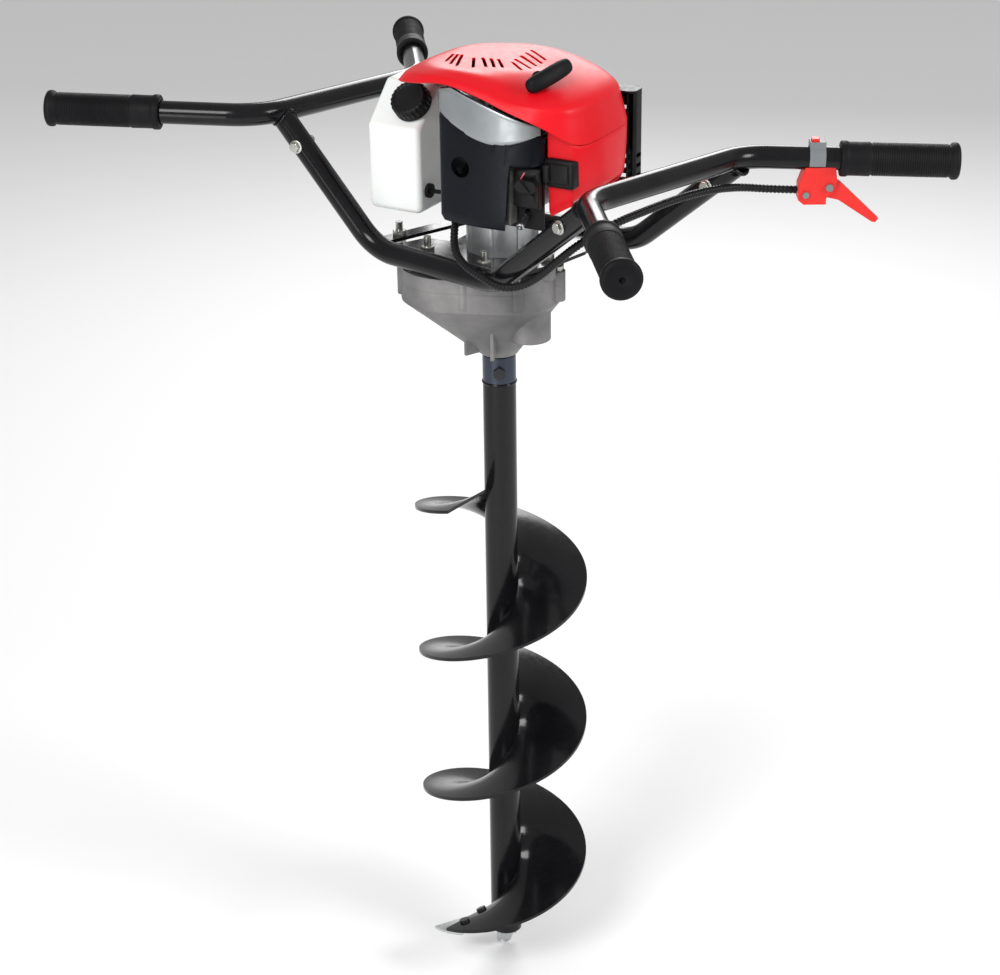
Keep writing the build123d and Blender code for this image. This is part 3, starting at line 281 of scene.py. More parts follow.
    @staticmethod
    def _noise(tree: Tree, where: Socket, scale: float, detail: float) -> Socket:
        """Noise at a scale per metre."""
        node = tree.nodes.new("ShaderNodeTexNoise")
        node.inputs["Scale"].default_value = scale
        node.inputs["Detail"].default_value = detail
        tree.links.new(where, node.inputs["Vector"])
        return node.outputs["Fac"]

    @staticmethod
    def _range(tree: Tree, value: Socket, a: float, b: float, c: float, d: float) -> Socket:
        """Value mapped from a..b to c..d and clamped."""
        node = tree.nodes.new("ShaderNodeMapRange")
        for key, number in (("From Min", a), ("From Max", b), ("To Min", c), ("To Max", d)):
            node.inputs[key].default_value = number
        tree.links.new(value, node.inputs["Value"])
        return node.outputs["Result"]

    @staticmethod
    def _math(tree: Tree, operation: str, a: Socket, b: Socket) -> Socket:
        """Sum, product or other operation of two values."""
        node = tree.nodes.new("ShaderNodeMath")
        node.operation = operation
        tree.links.new(a, node.inputs[0])
        tree.links.new(b, node.inputs[1])
        return node.outputs["Value"]

    @staticmethod
    def _rgb(tree: Tree, color: Color) -> Socket:
        """Constant colour."""
        node = tree.nodes.new("ShaderNodeRGB")
        node.outputs[0].default_value = (*color, 1.0)
        return node.outputs[0]

    @classmethod
    def _mix(cls, tree: Tree, factor: Socket, a: Color, b: Color) -> Socket:
        """Two colours blended by a noise factor."""
        share = cls._range(tree, factor, 0.35, 0.65, 0.0, 1.0)
        return cls._mix_sockets(tree, share, cls._rgb(tree, a), cls._rgb(tree, b))

    @staticmethod
    def _mix_sockets(tree: Tree, factor: Socket, a: Socket, b: Socket) -> Socket:
        """Two colour sockets blended by a factor."""
        node = tree.nodes.new("ShaderNodeMix")
        node.data_type = "RGBA"
        tree.links.new(factor, node.inputs[0])
        tree.links.new(a, node.inputs[6])
        tree.links.new(b, node.inputs[7])
        return node.outputs[2]


shop = MaterialShop()


# ---- Studio ------------------------------------------------------------------
@dataclass
class Studio:
    """Pale floor, soft lights and the camera."""

    camera_place: Point = (-0.001, -2.507, 1.782)
    forward: Point = (0.0, 0.9088, -0.4172)
    roll: float = 0.76
    lens: float = 85.9

    def build(self) -> None:
        """Make the floor, the lights and the camera."""
        self._floor()
        self._world()
        self._light("key", (-1.5, -2.6, 3.0), 1.3, 72.0)
        self._light("right", (2.6, -1.2, 2.2), 1.0, 44.0)
        self._light("back", (0.4, 2.8, 2.2), 1.4, 40.0)
        self._light("low", (-1.6, -2.4, 0.5), 1.0, 14.0)
        self._camera()

    def _floor(self) -> None:
        """Pale floor just under the tip."""
        mesh = bpy.data.meshes.new("floor")
        half, level = 14.0, -0.002
        corners = [(-half, -half, level), (half, -half, level), (half, half, level), (-half, half, level)]
        mesh.from_pydata(corners, [], [(0, 1, 2, 3)])
        floor = bpy.data.objects.new("floor", mesh)
        bpy.context.scene.collection.objects.link(floor)
        material = bpy.data.materials.new("floor_paper")
        material.use_nodes = True
        shader = material.node_tree.nodes["Principled BSDF"]
        shader.inputs["Base Color"].default_value = (0.93, 0.93, 0.93, 1.0)
        shader.inputs["Roughness"].default_value = 0.9
        mesh.materials.append(material)

    def _world(self) -> None:
        """Even light from all round."""
        world = bpy.data.worlds.new("studio")
        world.use_nodes = True
        world.node_tree.nodes["Background"].inputs["Color"].default_value = (1.0, 1.0, 1.0, 1.0)
        world.node_tree.nodes["Background"].inputs["Strength"].default_value = 0.50
        bpy.context.scene.world = world
        bpy.context.scene.view_settings.view_transform = "Standard"

    def _light(self, name: str, place: Point, size: float, power: float) -> None:
        """Square soft light aimed at the engine's foot.

        Args:
            name: Light's name.
            place: Its position.
            size: Side in metres.
            power: Watts.
        """
        data = bpy.data.lights.new(name, "AREA")
        data.shape = "SQUARE"
        data.size = size
        data.energy = power
        light = bpy.data.objects.new(name, data)
        light.location = place
        aim = Vector((0.0, 0.0, 0.75)) - Vector(place)
        light.rotation_euler = aim.to_track_quat("-Z", "Y").to_euler()
        bpy.context.scene.collection.objects.link(light)

    def _camera(self) -> None:
        """Camera at the wanted angle."""
        data = bpy.data.cameras.new("camera")
        data.lens = self.lens
        data.sensor_width = 36.0
        data.sensor_fit = "HORIZONTAL"
        camera = bpy.data.objects.new("camera", data)
        ahead = Vector(self.forward).normalized()
        level = Vector((1.0, 0.0, 0.0))
        down = ahead.cross(level)
        angle = radians(self.roll)
        right = level * cos(angle) + down * sin(angle)
        up = -(-level * sin(angle) + down * cos(angle))
        turn = Matrix((right, up, -ahead)).transposed()
        camera.matrix_world = Matrix.Translation(self.camera_place) @ turn.to_4x4()
        bpy.context.scene.collection.objects.link(camera)
        bpy.context.scene.camera = camera


# ---- Mesh helpers ------------------------------------------------------------
ENGINE_TURN = -30.0
ENGINE_X = 0.00525


def on_engine(point: Sequence[float]) -> Vector:
    """World point of one drawn about the crank axis, with the cylinder along +X.

    Args:
        point: Position in metres in the engine's own directions.

    Returns:
        The same position in the row frame.
    """
    turned = Matrix.Rotation(radians(ENGINE_TURN), 3, "Z") @ Vector(point)
    return turned + Vector((ENGINE_X, 0.0, 0.0))


def mesh_object(name: str, verts: Sequence[Sequence[float]], faces: Sequence[Sequence[int]],
                smooth: bool = True) -> Object:
    """Object from vertices and faces.

    Args:
        name: Piece name.
        verts: Vertices in the row frame.
        faces: Vertex indices of each face.
        smooth: Whether the faces are shaded smooth.

    Returns:
        The new object, linked to the scene.
    """
    mesh = bpy.data.meshes.new(name)
    mesh.from_pydata([tuple(v) for v in verts], [], [tuple(f) for f in faces])
    mesh.validate()
    work = bmesh.new()
    work.from_mesh(mesh)
    bmesh.ops.recalc_face_normals(work, faces=work.faces)
    work.to_mesh(mesh)
    work.free()
    for polygon in mesh.polygons:
        polygon.use_smooth = smooth
    obj = bpy.data.objects.new(name, mesh)
    bpy.context.scene.collection.objects.link(obj)
    return obj


def skin(rings: Sequence[Sequence[Vector]], closed_ends: bool = True) -> Tuple[List[Vector], List[List[int]]]:
    """Vertices and faces that join closed rings of equal length.

    Args:
        rings: Rings of points, in order.
        closed_ends: Whether the first and last ring are filled.

    Returns:
        Vertices and faces.
    """
    count = len(rings[0])
    verts = [p for ring in rings for p in ring]
    faces: List[List[int]] = []
    for row in range(len(rings) - 1):
        for k in range(count):
            a, b = row * count + k, row * count + (k + 1) % count
            faces.append([a, b, b + count, a + count])
    if closed_ends:
        faces.append(list(range(count))[::-1])
        faces.append(list(range((len(rings) - 1) * count, len(rings) * count)))
    return verts, faces


def box_mesh(name: str, xs: Span, ys: Span, zs: Span) -> Object:
    """Block with its sides along the engine's own directions.

    Args:
        name: Piece name.
        xs: Limits along the cylinder.
        ys: Limits across it.
        zs: Limits upwards.

    Returns:
        The block.
    """
    plan = ((xs[0], ys[0]), (xs[1], ys[0]), (xs[1], ys[1]), (xs[0], ys[1]))
    verts = [on_engine((x, y, z)) for z in zs for x, y in plan]
    return mesh_object(name, verts, BOX_FACES, False)


def frame_of(axis: Vector) -> Tuple[Vector, Vector]:
    """Two directions square to an axis."""
    side = axis.cross(Vector((0.0, 0.0, 1.0)))
    if side.length < 0.1:
        side = axis.cross(Vector((0.0, 1.0, 0.0)))
    side.normalize()
    return side, axis.cross(side).normalized()


def lathe(name: str, start: Vector, axis: Vector, profile: Sequence[Tuple[float, float]], segments: int = 48,
          wobble: Optional[Callable[[float, float], float]] = None) -> Object:
    """Turned piece about an axis.

    Args:
        name: Piece name.
        start: Point where the profile's distance is 0.
        axis: Direction of growing distance.
        profile: Pairs of distance and radius.
        segments: Points round a ring.
        wobble: Optional factor on the radius from the angle and the distance.

    Returns:
        The piece.
    """
    axis = axis.normalized()
    u, v = frame_of(axis)
    rings = []
    for distance, radius in profile:
        ring = []
        for k in range(segments):
            angle = 2 * pi * k / segments
            r = radius * (wobble(angle, distance) if wobble else 1.0)
            ring.append(start + axis * distance + (u * cos(angle) + v * sin(angle)) * r)
        rings.append(ring)
    verts, faces = skin(rings)
    return mesh_object(name, verts, faces)


def spline_points(route: Sequence[Sequence[float]]) -> List[Vector]:
    """Points along the NURBS spline of a route.

    Args:
        route: Control points in metres.

    Returns:
        Points in order along the smooth line.
    """
    curve = bpy.data.curves.new("route", "CURVE")
    curve.dimensions = "3D"
    curve.resolution_u = 24
    spline = curve.splines.new("NURBS")
    spline.points.add(len(route) - 1)
    for slot_, point in zip(spline.points, route):
        slot_.co = (*point, 1.0)
    spline.order_u = 3
    spline.use_endpoint_u = True
    holder = bpy.data.objects.new("route", curve)
    bpy.context.scene.collection.objects.link(holder)
    bpy.context.view_layer.update()
    mesh = bpy.data.meshes.new_from_object(holder)
    points = [v.co.copy() for v in mesh.vertices]
    bpy.data.objects.remove(holder)
    bpy.data.meshes.remove(mesh)
    return points


def resample(points: Sequence[Vector], step: float) -> List[Vector]:
    """Points at an even step along a line of points."""
    result = [points[0].copy()]
    left = step
    for a, b in zip(points, points[1:]):
        run = (b - a).length
        while run > left:
            a = a + (b - a).normalized() * left
            run = (b - a).length
            result.append(a.copy())
            left = step
        left -= run
    result.append(points[-1].copy())
    return result


def sweep(name: str, line: Sequence[Vector], radius: Callable[[int], float], segments: int = 16,
          twist: Callable[[float], float] = lambda angle: 1.0) -> Object:
    """Tube along a line with a radius for each ring.

    Args:
        name: Piece name.
        line: Centre points.
        radius: Radius of the ring with this index.
        segments: Points round a ring.
        twist: Factor on the radius from the angle round the line.

    Returns:
        The tube.
    """
    rings = []
    side: Optional[Vector] = None
    for index, point in enumerate(line):
        ahead = line[min(index + 1, len(line) - 1)] - line[max(index - 1, 0)]
        ahead.normalize()
        if side is None:
            side = frame_of(ahead)[0]
        side = (side - ahead * side.dot(ahead)).normalized()
        up = ahead.cross(side)
        ring = []
        for k in range(segments):
            angle = 2 * pi * k / segments
            size = radius(index) * twist(angle + index * 0.35)
            ring.append(point + (side * cos(angle) + up * sin(angle)) * size)
        rings.append(ring)
    verts, faces = skin(rings)
    return mesh_object(name, verts, faces)


def hexagon_profile(angle: float) -> float:
    """Radius factor of a hexagon with rounded corners, 1 at its corners."""
    part = (angle % (pi / 3)) - pi / 6
    return min(1.0, 0.866 / cos(part) * 1.01)


# ---- Pieces ------------------------------------------------------------------
@dataclass
class Grip:
    """Moulded hand grip with a flange, fine ribs and a collar."""

    node: str
    tip: Point
    inner: Point
    ribs: int = 33

    def build(self) -> Object:
        """Make the grip in place of its CAD node."""
        start = Vector(self.tip)
        axis = Vector(self.inner) - start
        profile = [(0.0040, 0.0001), (0.0040, 0.0024), (0.0006, 0.0030), (0.0, 0.0036), (0.0, 0.0140),
                   (0.0004, 0.0170),
                   (0.0018, 0.0191), (0.0040, 0.0199), (0.0072, 0.0199), (0.0088, 0.0190), (0.0100, 0.0176),
                   (0.0112, 0.0171)]
        for index in range(self.ribs):
            s = 0.0125 + 0.00245 * index
            profile += [(s, 0.0170), (s + 0.0004, 0.0179), (s + 0.0014, 0.0179), (s + 0.0018, 0.0170)]
        profile += [(0.0945, 0.0170), (0.0952, 0.0180), (0.0960, 0.0183), (0.1080, 0.0181), (0.1180, 0.0181),
                    (0.1195, 0.0186), (0.1205, 0.0192), (0.1250, 0.0192), (0.1264, 0.0188), (0.1270, 0.0178),
                    (0.1270, 0.0131), (0.1235, 0.0129)]
        grip = lathe(f"{self.node}_moulding", start, axis, profile, 56)
        shop.paint(grip, Surface.RUBBER)
        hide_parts(self.node)
        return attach(grip, "frame")


@dataclass
class Conduit:
    """Corrugated conduit along the frame to the throttle housing."""

    route: Sequence[Point]
    radius: float = 0.0044
    pitch: float = 0.0011

    def build(self) -> Object:
        """Make the corrugated tube in place of its CAD node."""
        line = resample(spline_points(self.route), self.pitch)
        wave = (0.86, 1.0, 1.0, 0.86)
        tube = sweep("conduit_corrugated", line, lambda i: self.radius * wave[i % 4], 18)
        shop.paint(tube, Surface.BLACK)
        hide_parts("throttle_conduit")
        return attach(tube, "frame")


CONDUIT: List[Point] = [
    (-0.045, -0.055, 0.972), (-0.049, -0.076, 0.951), (-0.037, -0.103, 0.939), (-0.017, -0.129, 0.934),
    (0.002, -0.149, 0.929), (0.025, -0.159, 0.934), (0.045, -0.172, 0.951), (0.066, -0.195, 0.979),
    (0.090, -0.211, 1.003), (0.120, -0.200, 1.016), (0.152, -0.168, 1.018), (0.190, -0.126, 1.018),
    (0.230, -0.088, 1.015), (0.262, -0.064, 1.009), (0.290, -0.053, 1.003), (0.321, -0.050, 1.001),
]
RIGHT_BAR: List[Point] = [
    (0.493, -0.053, 1.031), (0.261, -0.047, 1.038), (0.088, -0.246, 1.052), (0.111, -0.488, 1.057)]
LEFT_BAR: List[Point] = [
    (-0.493, 0.053, 1.073), (-0.258, 0.028, 1.068), (-0.092, 0.243, 1.052), (-0.110, 0.488, 1.047)]
ROPE_EXIT = Vector((0.066, -0.038, 1.130))
ROPE_PULL = Vector((0.840, -0.420, 0.344))


@dataclass
class Starter:
    """Rope, its bushing and the T grip."""

    half_length: float = 0.031

    def at(self, distance: float) -> Vector:
        """Point on the rope's line from its exit."""
        return on_engine(ROPE_EXIT + ROPE_PULL * distance)

    def build(self) -> None:
        """Make the rope, the bushing and the grip."""
        self._rope()
        self._bushing()
        self._grip()

    def _rope(self) -> None:
        """Rope from the reel out through the bushing, stretched between cover and grip."""
        route = [on_engine((-0.0008, -0.0317, 1.1107)), on_engine((0.030, -0.0317, 1.1109)),
                 on_engine((0.040, -0.0322, 1.1135)), self.at(-0.012), self.at(0.0), self.at(0.016)]
        line = resample(spline_points(route), 0.0007)
        rope = sweep("starter_cord", line, lambda i: 0.0016, 14, lambda a: 1.0 - 0.10 * abs(sin(2 * a)))
        shop.paint(rope, Surface.ROPE)
        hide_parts("starter_rope")
        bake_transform(rope)

    def _bushing(self) -> None:
        """Flanged bushing in the cover."""
        profile = [(-0.004, 0.0024), (-0.004, 0.0044), (0.0012, 0.0044), (0.0012, 0.0072), (0.0022, 0.0082),
                   (0.0036, 0.0080), (0.0046, 0.0060), (0.0046, 0.0036), (0.0036, 0.0024)]
        bush = lathe("rope_bushing", self.at(0.0), self.at(1.0) - self.at(0.0), profile, 32)
        shop.paint(bush, Surface.BLACK)
        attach(bush, "frame")

    def _grip(self) -> None:
        """Swollen bar with its stem."""
        pull = (self.at(1.0) - self.at(0.0)).normalized()
        across = on_engine((0.50, 0.80, 0.33)) - on_engine((0.0, 0.0, 0.0))
        across = (across - pull * across.dot(pull)).normalized()
        third = pull.cross(across)
        middle = self.at(0.026)
        rings = []
        count = 32
        steps = 26
        for index in range(steps + 1):
            t = -1 + 2 * index / steps
            swell = max(0.0, 1 - abs(t) ** 3.4) ** 0.5
            high = 0.0092 * (0.45 + 0.55 * swell) * min(1.0, swell * 1.6 + 0.02)
            wide = 0.0078 * (0.55 + 0.45 * swell) * min(1.0, swell * 1.6 + 0.02)
            centre = middle + across * (t * self.half_length) - pull * (0.0035 * t * t)
            ring = []
            for k in range(count):
                angle = 2 * pi * k / count
                c, s = cos(angle), sin(angle)
                squared = (abs(c) ** 2.6 + abs(s) ** 2.6) ** (-1 / 2.6)
                ring.append(centre + pull * (wide * c * squared) + third * (high * s * squared))
            rings.append(ring)
        verts, faces = skin(rings)
        bar = mesh_object("starter_handle", verts, faces)
        stem = lathe("starter_handle_stem", self.at(0.0068), pull,
                     [(0.0, 0.0026), (0.0, 0.0052), (0.001, 0.0060), (0.008, 0.0056), (0.014, 0.0060),
                      (0.018, 0.0072)], 32)
        for piece in (bar, stem):
            shop.paint(piece, Surface.RUBBER)
            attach(piece, "starter")
        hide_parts("starter_grip")


@dataclass
class IdleScrew:
    """Idle speed screw with its recessed head and coil spring."""

    tip: Point = (0.074, -0.0695, 0.999)
    direction: Point = (0.0, -0.843, -0.538)
    spring_radius: float = 0.0030
    wire: float = 0.00055
    turns: int = 8

    def build(self) -> None:
        """Make the screw and the spring in place of the CAD node."""
        start = on_engine(self.tip)
        axis = (on_engine(Vector(self.tip) + Vector(self.direction)) - start).normalized()
        screw = lathe("idle_screw_turned", start, axis,
                      [(0.0, 0.0001), (0.0, 0.0018), (0.0226, 0.0018), (0.0226, 0.0038), (0.0230, 0.0042),
                       (0.0264, 0.0042), (0.0270, 0.0037), (0.0270, 0.0010), (0.0258, 0.0008),
                       (0.0258, 0.0001)], 36)
        u, v = frame_of(axis)
        line = []
        for k in range(self.turns * 16 + 1):
            angle = 2 * pi * k / 16
            line.append(start + axis * (0.0092 + 0.0128 * k / (self.turns * 16))
                        + (u * cos(angle) + v * sin(angle)) * self.spring_radius)
        spring = sweep("idle_screw_spring", line, lambda i: self.wire, 8)
        shop.paint(screw, Surface.STEEL)
        shop.paint(spring, Surface.BLACK_ZINC)
        for piece in (screw, spring):
            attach(piece, "frame")
        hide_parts("idle_screw")


@dataclass
class FuelCap:
    """Moulded screw cap with a crowned top and finger ribs."""

    seat: Point = (-0.093, -0.027, 1.079)
    ribs: int = 24

    def build(self) -> Object:
        """Make the cap in place of its CAD node."""
        start = on_engine(self.seat)
        tilt = on_engine((self.seat[0], self.seat[1] - 0.70711, self.seat[2] + 0.70711)) - start
        profile = [(0.0012, 0.0156), (0.0012, 0.0212), (0.0022, 0.0219), (0.0050, 0.0219), (0.0058, 0.0213),
                   (0.0062, 0.0211),
                   (0.0150, 0.0207), (0.0168, 0.0200), (0.0178, 0.0186), (0.0180, 0.0168), (0.0172, 0.0160),
                   (0.0168, 0.0150), (0.0170, 0.0080), (0.0172, 0.0001)]

        def rib(angle: float, distance: float) -> float:
            """Radius factor of the finger ribs."""
            if distance < 0.006 or distance > 0.0172:
                return 1.0
            return 1.0 + 0.045 * max(0.0, cos(angle * self.ribs)) ** 0.6

        cap = lathe("fuel_cap_moulding", start, tilt, profile, 192, rib)
        shop.paint(cap, Surface.BLACK)
        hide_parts("fuel_cap")
        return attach(cap, "cap")


@dataclass
class Fastener:
    """Hexagon bolt head or nut with a washer, standing on a surface."""

    name: str
    place: Point
    axis: Point
    size: float = 0.0065
    stud: float = 0.0

    def build(self) -> None:
        """Make the washer, the head and the stud's end."""
        place, axis = Vector(self.place), Vector(self.axis).normalized()
        washer = lathe(f"{self.name}_washer", place, axis,
                       [(0.0, 0.001), (0.0, self.size * 1.30), (0.0003, self.size * 1.36),
                        (0.0011, self.size * 1.36),
                        (0.0014, self.size * 1.30), (0.0014, 0.001)], 40)
        head = lathe(f"{self.name}_head", place + axis * 0.0014, axis,
                     [(0.0, 0.001), (0.0, self.size * 1.08), (self.size * 0.66, self.size * 1.08),
                      (self.size * 0.80, self.size * 0.90), (self.size * 0.80, 0.001)], 48,
                     lambda a, s: hexagon_profile(a) if s < self.size * 0.7 else 1.0)
        for polygon in head.data.polygons:
            polygon.use_smooth = False
        pieces = [washer, head]
        if self.stud > 0:
            profile = [(0.0, 0.001)]
            turns = int(self.stud / 0.0010)
            for index in range(turns):
                s = self.size * 0.8 + 0.0010 * index
                profile += [(s, 0.0033), (s + 0.0005, 0.0039)]
            profile += [(self.size * 0.8 + self.stud, 0.0032), (self.size * 0.8 + self.stud, 0.0001)]
            pieces.append(lathe(f"{self.name}_stud", place, axis, profile[1:], 28))
        for piece in pieces:
            shop.paint(piece, Surface.ZINC)
            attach(piece, "frame")


@dataclass
class WeldBead:
    """Rippled weld round the end of a cradle tube where it meets a handle tube."""

    name: str
    tube: Tuple[Point, Point]
    bar: Tuple[Point, Point]
    tube_radius: float = 0.0127
    bar_radius: float = 0.0127
    cope: float = 0.017

    def build(self) -> Object:
        """Make the bead along the seam of the two tubes."""
        end, bend = Vector(self.tube[0]), Vector(self.tube[1])
        axis = (bend - end).normalized()
        start = end - axis * self.cope
        bar_start = Vector(self.bar[0])
        bar_axis = (Vector(self.bar[1]) - bar_start).normalized()
        u, v = frame_of(axis)
        seam: List[Vector] = []
        for k in range(72):
            angle = 2 * pi * k / 72
            point = start + (u * cos(angle) + v * sin(angle)) * self.tube_radius
            for _ in range(160):
                away = point - bar_start
                gap = (away - bar_axis * away.dot(bar_axis)).length - self.bar_radius
                if gap >= 0.0004:
                    break
                point = point + axis * max(0.0004 - gap, 0.0001)
            seam.append(point)
        line = seam + seam[:1]
        bead = sweep(self.name, line, lambda i: 0.0021 + 0.0004 * sin(i * 2.1), 10)
        shop.paint(bead, Surface.POWDER)
        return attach(bead, "frame")


FRONT_CRADLE: List[Point] = [
    (-0.228, 0.050, 1.051), (-0.134, 0.002, 0.922), (-0.002, -0.111, 0.922), (0.084, -0.237, 1.036)]
REAR_CRADLE: List[Point] = [
    (0.247, -0.050, 1.022), (0.152, 0.020, 0.922), (0.006, 0.118, 0.922), (-0.086, 0.239, 1.036)]


@dataclass
class Joints:
    """Welds of the cradle tubes to the handlebars and the cross bolts by them."""

    reach: float = 0.025
    tube_radius: float = 0.0127
    head: float = 0.0055
    stud: float = 0.004

    def build(self) -> None:
        """Make a weld and a cross bolt at each of the four ends."""
        ends = (("front_left", FRONT_CRADLE, LEFT_BAR), ("front_right", FRONT_CRADLE[::-1], RIGHT_BAR[::-1]),
                ("rear_right", REAR_CRADLE, RIGHT_BAR), ("rear_left", REAR_CRADLE[::-1], LEFT_BAR[::-1]))
        for name, cradle, bar in ends:
            WeldBead(f"{name}_weld", (cradle[0], cradle[1]), bar[1:3]).build()
            end, bend = Vector(cradle[0]), Vector(cradle[1])
            axis = (bend - end).normalized()
            across = axis.cross(Vector((0.0, 0.0, 1.0))).normalized()
            front = across if across.y < 0 else -across
            place = end + axis * self.reach
            stand = front * self.tube_radius
            Fastener(f"{name}_bolt", tuple(place + stand), tuple(front), self.head).build()
            Fastener(f"{name}_nut", tuple(place - stand), tuple(-front), self.head, self.stud).build()


def catmull(p0: Vector, p1: Vector, p2: Vector, p3: Vector, t: float) -> Vector:
    """Point on a Catmull-Rom span between p1 and p2."""
    square = (2 * p0 - 5 * p1 + 4 * p2 - p3) * t * t
    cube = (3 * p1 - p0 - 3 * p2 + p3) * t ** 3
    return 0.5 * ((2 * p1) + (p2 - p0) * t + square + cube)


def smooth_line(points: Sequence[Vector], steps: int, closed: bool) -> List[Vector]:
    """Smooth line through points.

    Args:
        points: Points to pass through.
        steps: Divisions of each span.
        closed: Whether the last point joins the first.

    Returns:
        The finer line.
    """
    count = len(points)
    spans = count if closed else count - 1
    result = []
    for i in range(spans):
        if closed:
            ends = [points[(i + k) % count] for k in (-1, 0, 1, 2)]
        else:
            ends = [points[min(max(i + k, 0), count - 1)] for k in (-1, 0, 1, 2)]
        for step in range(steps):
            result.append(catmull(*ends, step / steps))
    if not closed:
        result.append(points[-1].copy())
    return result


def cut_out(obj: Object, cutter: Object) -> None:
    """Take a cutter's volume out of an object and remove the cutter."""
    change = obj.modifiers.new("cut", "BOOLEAN")
    change.operation = "DIFFERENCE"
    change.solver = "EXACT"
    change.object = cutter
    bake(obj)
    bpy.data.objects.remove(cutter)


def bake(obj: Object) -> None:
    """Turn an object's modifiers into its mesh."""
    bpy.context.view_layer.update()
    graph = bpy.context.evaluated_depsgraph_get()
    mesh = bpy.data.meshes.new_from_object(obj.evaluated_get(graph))
    obj.modifiers.clear()
    obj.data = mesh


def thicken(obj: Object, thickness: float) -> None:
    """Give a skin its wall, inwards."""
    wall = obj.modifiers.new("wall", "SOLIDIFY")
    wall.thickness = thickness
    wall.offset = -1.0
    bake(obj)


@dataclass
class Cowl:
    """Red side of the engine under the top cover, flush with its brim, and the plug boot on its front."""

    brim: Sequence[Vector]
    low_corner: float = 0.9900
    foot_slope: float = 0.60
    front: float = -0.0675
    back: float = 0.0580
    near: float = 0.0935
    taper: float = 0.0036

    def build(self) -> None:
        """Make the skin and the boot."""
        self._skin()
        self._boot()

    def _skin(self) -> None:
        """Thin wall from under the brim down to the slanting foot."""
        line = [Vector((p.x, min(max(p.y, self.front), self.back), p.z))
                for p in self.brim if p.x > self.near]
        line.append(Vector((0.086, self.back, line[-1].z)))
        line.append(Vector((0.066, self.back, line[-1].z)))
        inward = []
        for i, _ in enumerate(line):
            ahead = line[min(i + 1, len(line) - 1)] - line[max(i - 1, 0)]
            inward.append(Vector((-ahead.y, ahead.x, 0.0)).normalized())
        rings = []
        for rise, inset in ((0.0060, 0.0034), (-0.0006, 0.0034), (-0.0010, 0.0008), (-0.0022, 0.0002)):
            rings.append([on_engine(p + n * inset + Vector((0, 0, rise))) for p, n in zip(line, inward)])
        for step in range(1, 15):
            t = step / 14
            ring = []
            for p, n in zip(line, inward):
                z = (p.z - 0.0022) * (1 - t) + (self.low_corner + self.foot_slope * (p.x - self.near)) * t
                q = p + n * (0.0002 + self.taper * t ** 2.2 + (0.003 if step == 14 else 0.0))
                ring.append(on_engine((q.x, q.y, z)))
            rings.append(ring)
        count = len(line)
        faces = [[r * count + k, r * count + k + 1, (r + 1) * count + k + 1, (r + 1) * count + k]
                 for r in range(len(rings) - 1) for k in range(count - 1)]
        cowl = mesh_object("side_cowl", [v for ring in rings for v in ring], faces)
        outside = on_engine((1.0, 0.0, 1.05)) - on_engine((0.0, 0.0, 1.05))
        if sum(p.normal.dot(outside) * p.area for p in cowl.data.polygons) < 0:
            cowl.data.flip_normals()
        thicken(cowl, 0.0022)
        cowl.data.shade_smooth()
        cowl.data.set_sharp_from_angle(angle=radians(40))
        shop.paint(cowl, Surface.RED)
        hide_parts("engine_shroud")
        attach(cowl, "frame")

    def _boot(self) -> None:
        """Boot on the front of the cowl, and the dark plate inside the louvred guard."""
        body = box_mesh("plug_boot_front", (0.0945, 0.1275), (-0.0728, -0.0580), (1.0265, 1.0575))
        arm = box_mesh("plug_boot_arm", (0.0935, 0.1010), (-0.0790, -0.0700), (1.0330, 1.0520))
        ridge = box_mesh("plug_boot_ridge", (0.1000, 0.1220), (-0.0752, -0.0720), (1.0320, 1.0530))
        neck = box_mesh("plug_boot_neck", (0.1180, 0.1270), (-0.0590, -0.0390), (1.0280, 1.0390))
        elbow = box_mesh("plug_boot_elbow", (0.1193, 0.1285), (-0.0400, 0.0080), (1.0215, 1.0385))
        for piece, width in ((body, 0.0030), (arm, 0.0022), (ridge, 0.0014), (neck, 0.0012), (elbow, 0.0020)):
            soften(piece, width, 3)
            shop.paint(piece, Surface.BLACK)
            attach(piece, "frame")
        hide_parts("plug_boot")
        baffle = box_mesh("guard_baffle", (0.1200, 0.1222), (0.0620, 0.0825), (0.9880, 1.0960))
        soften(baffle, 0.0006, 2)
        shop.paint(baffle, Surface.BLACK)
        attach(baffle, "frame")


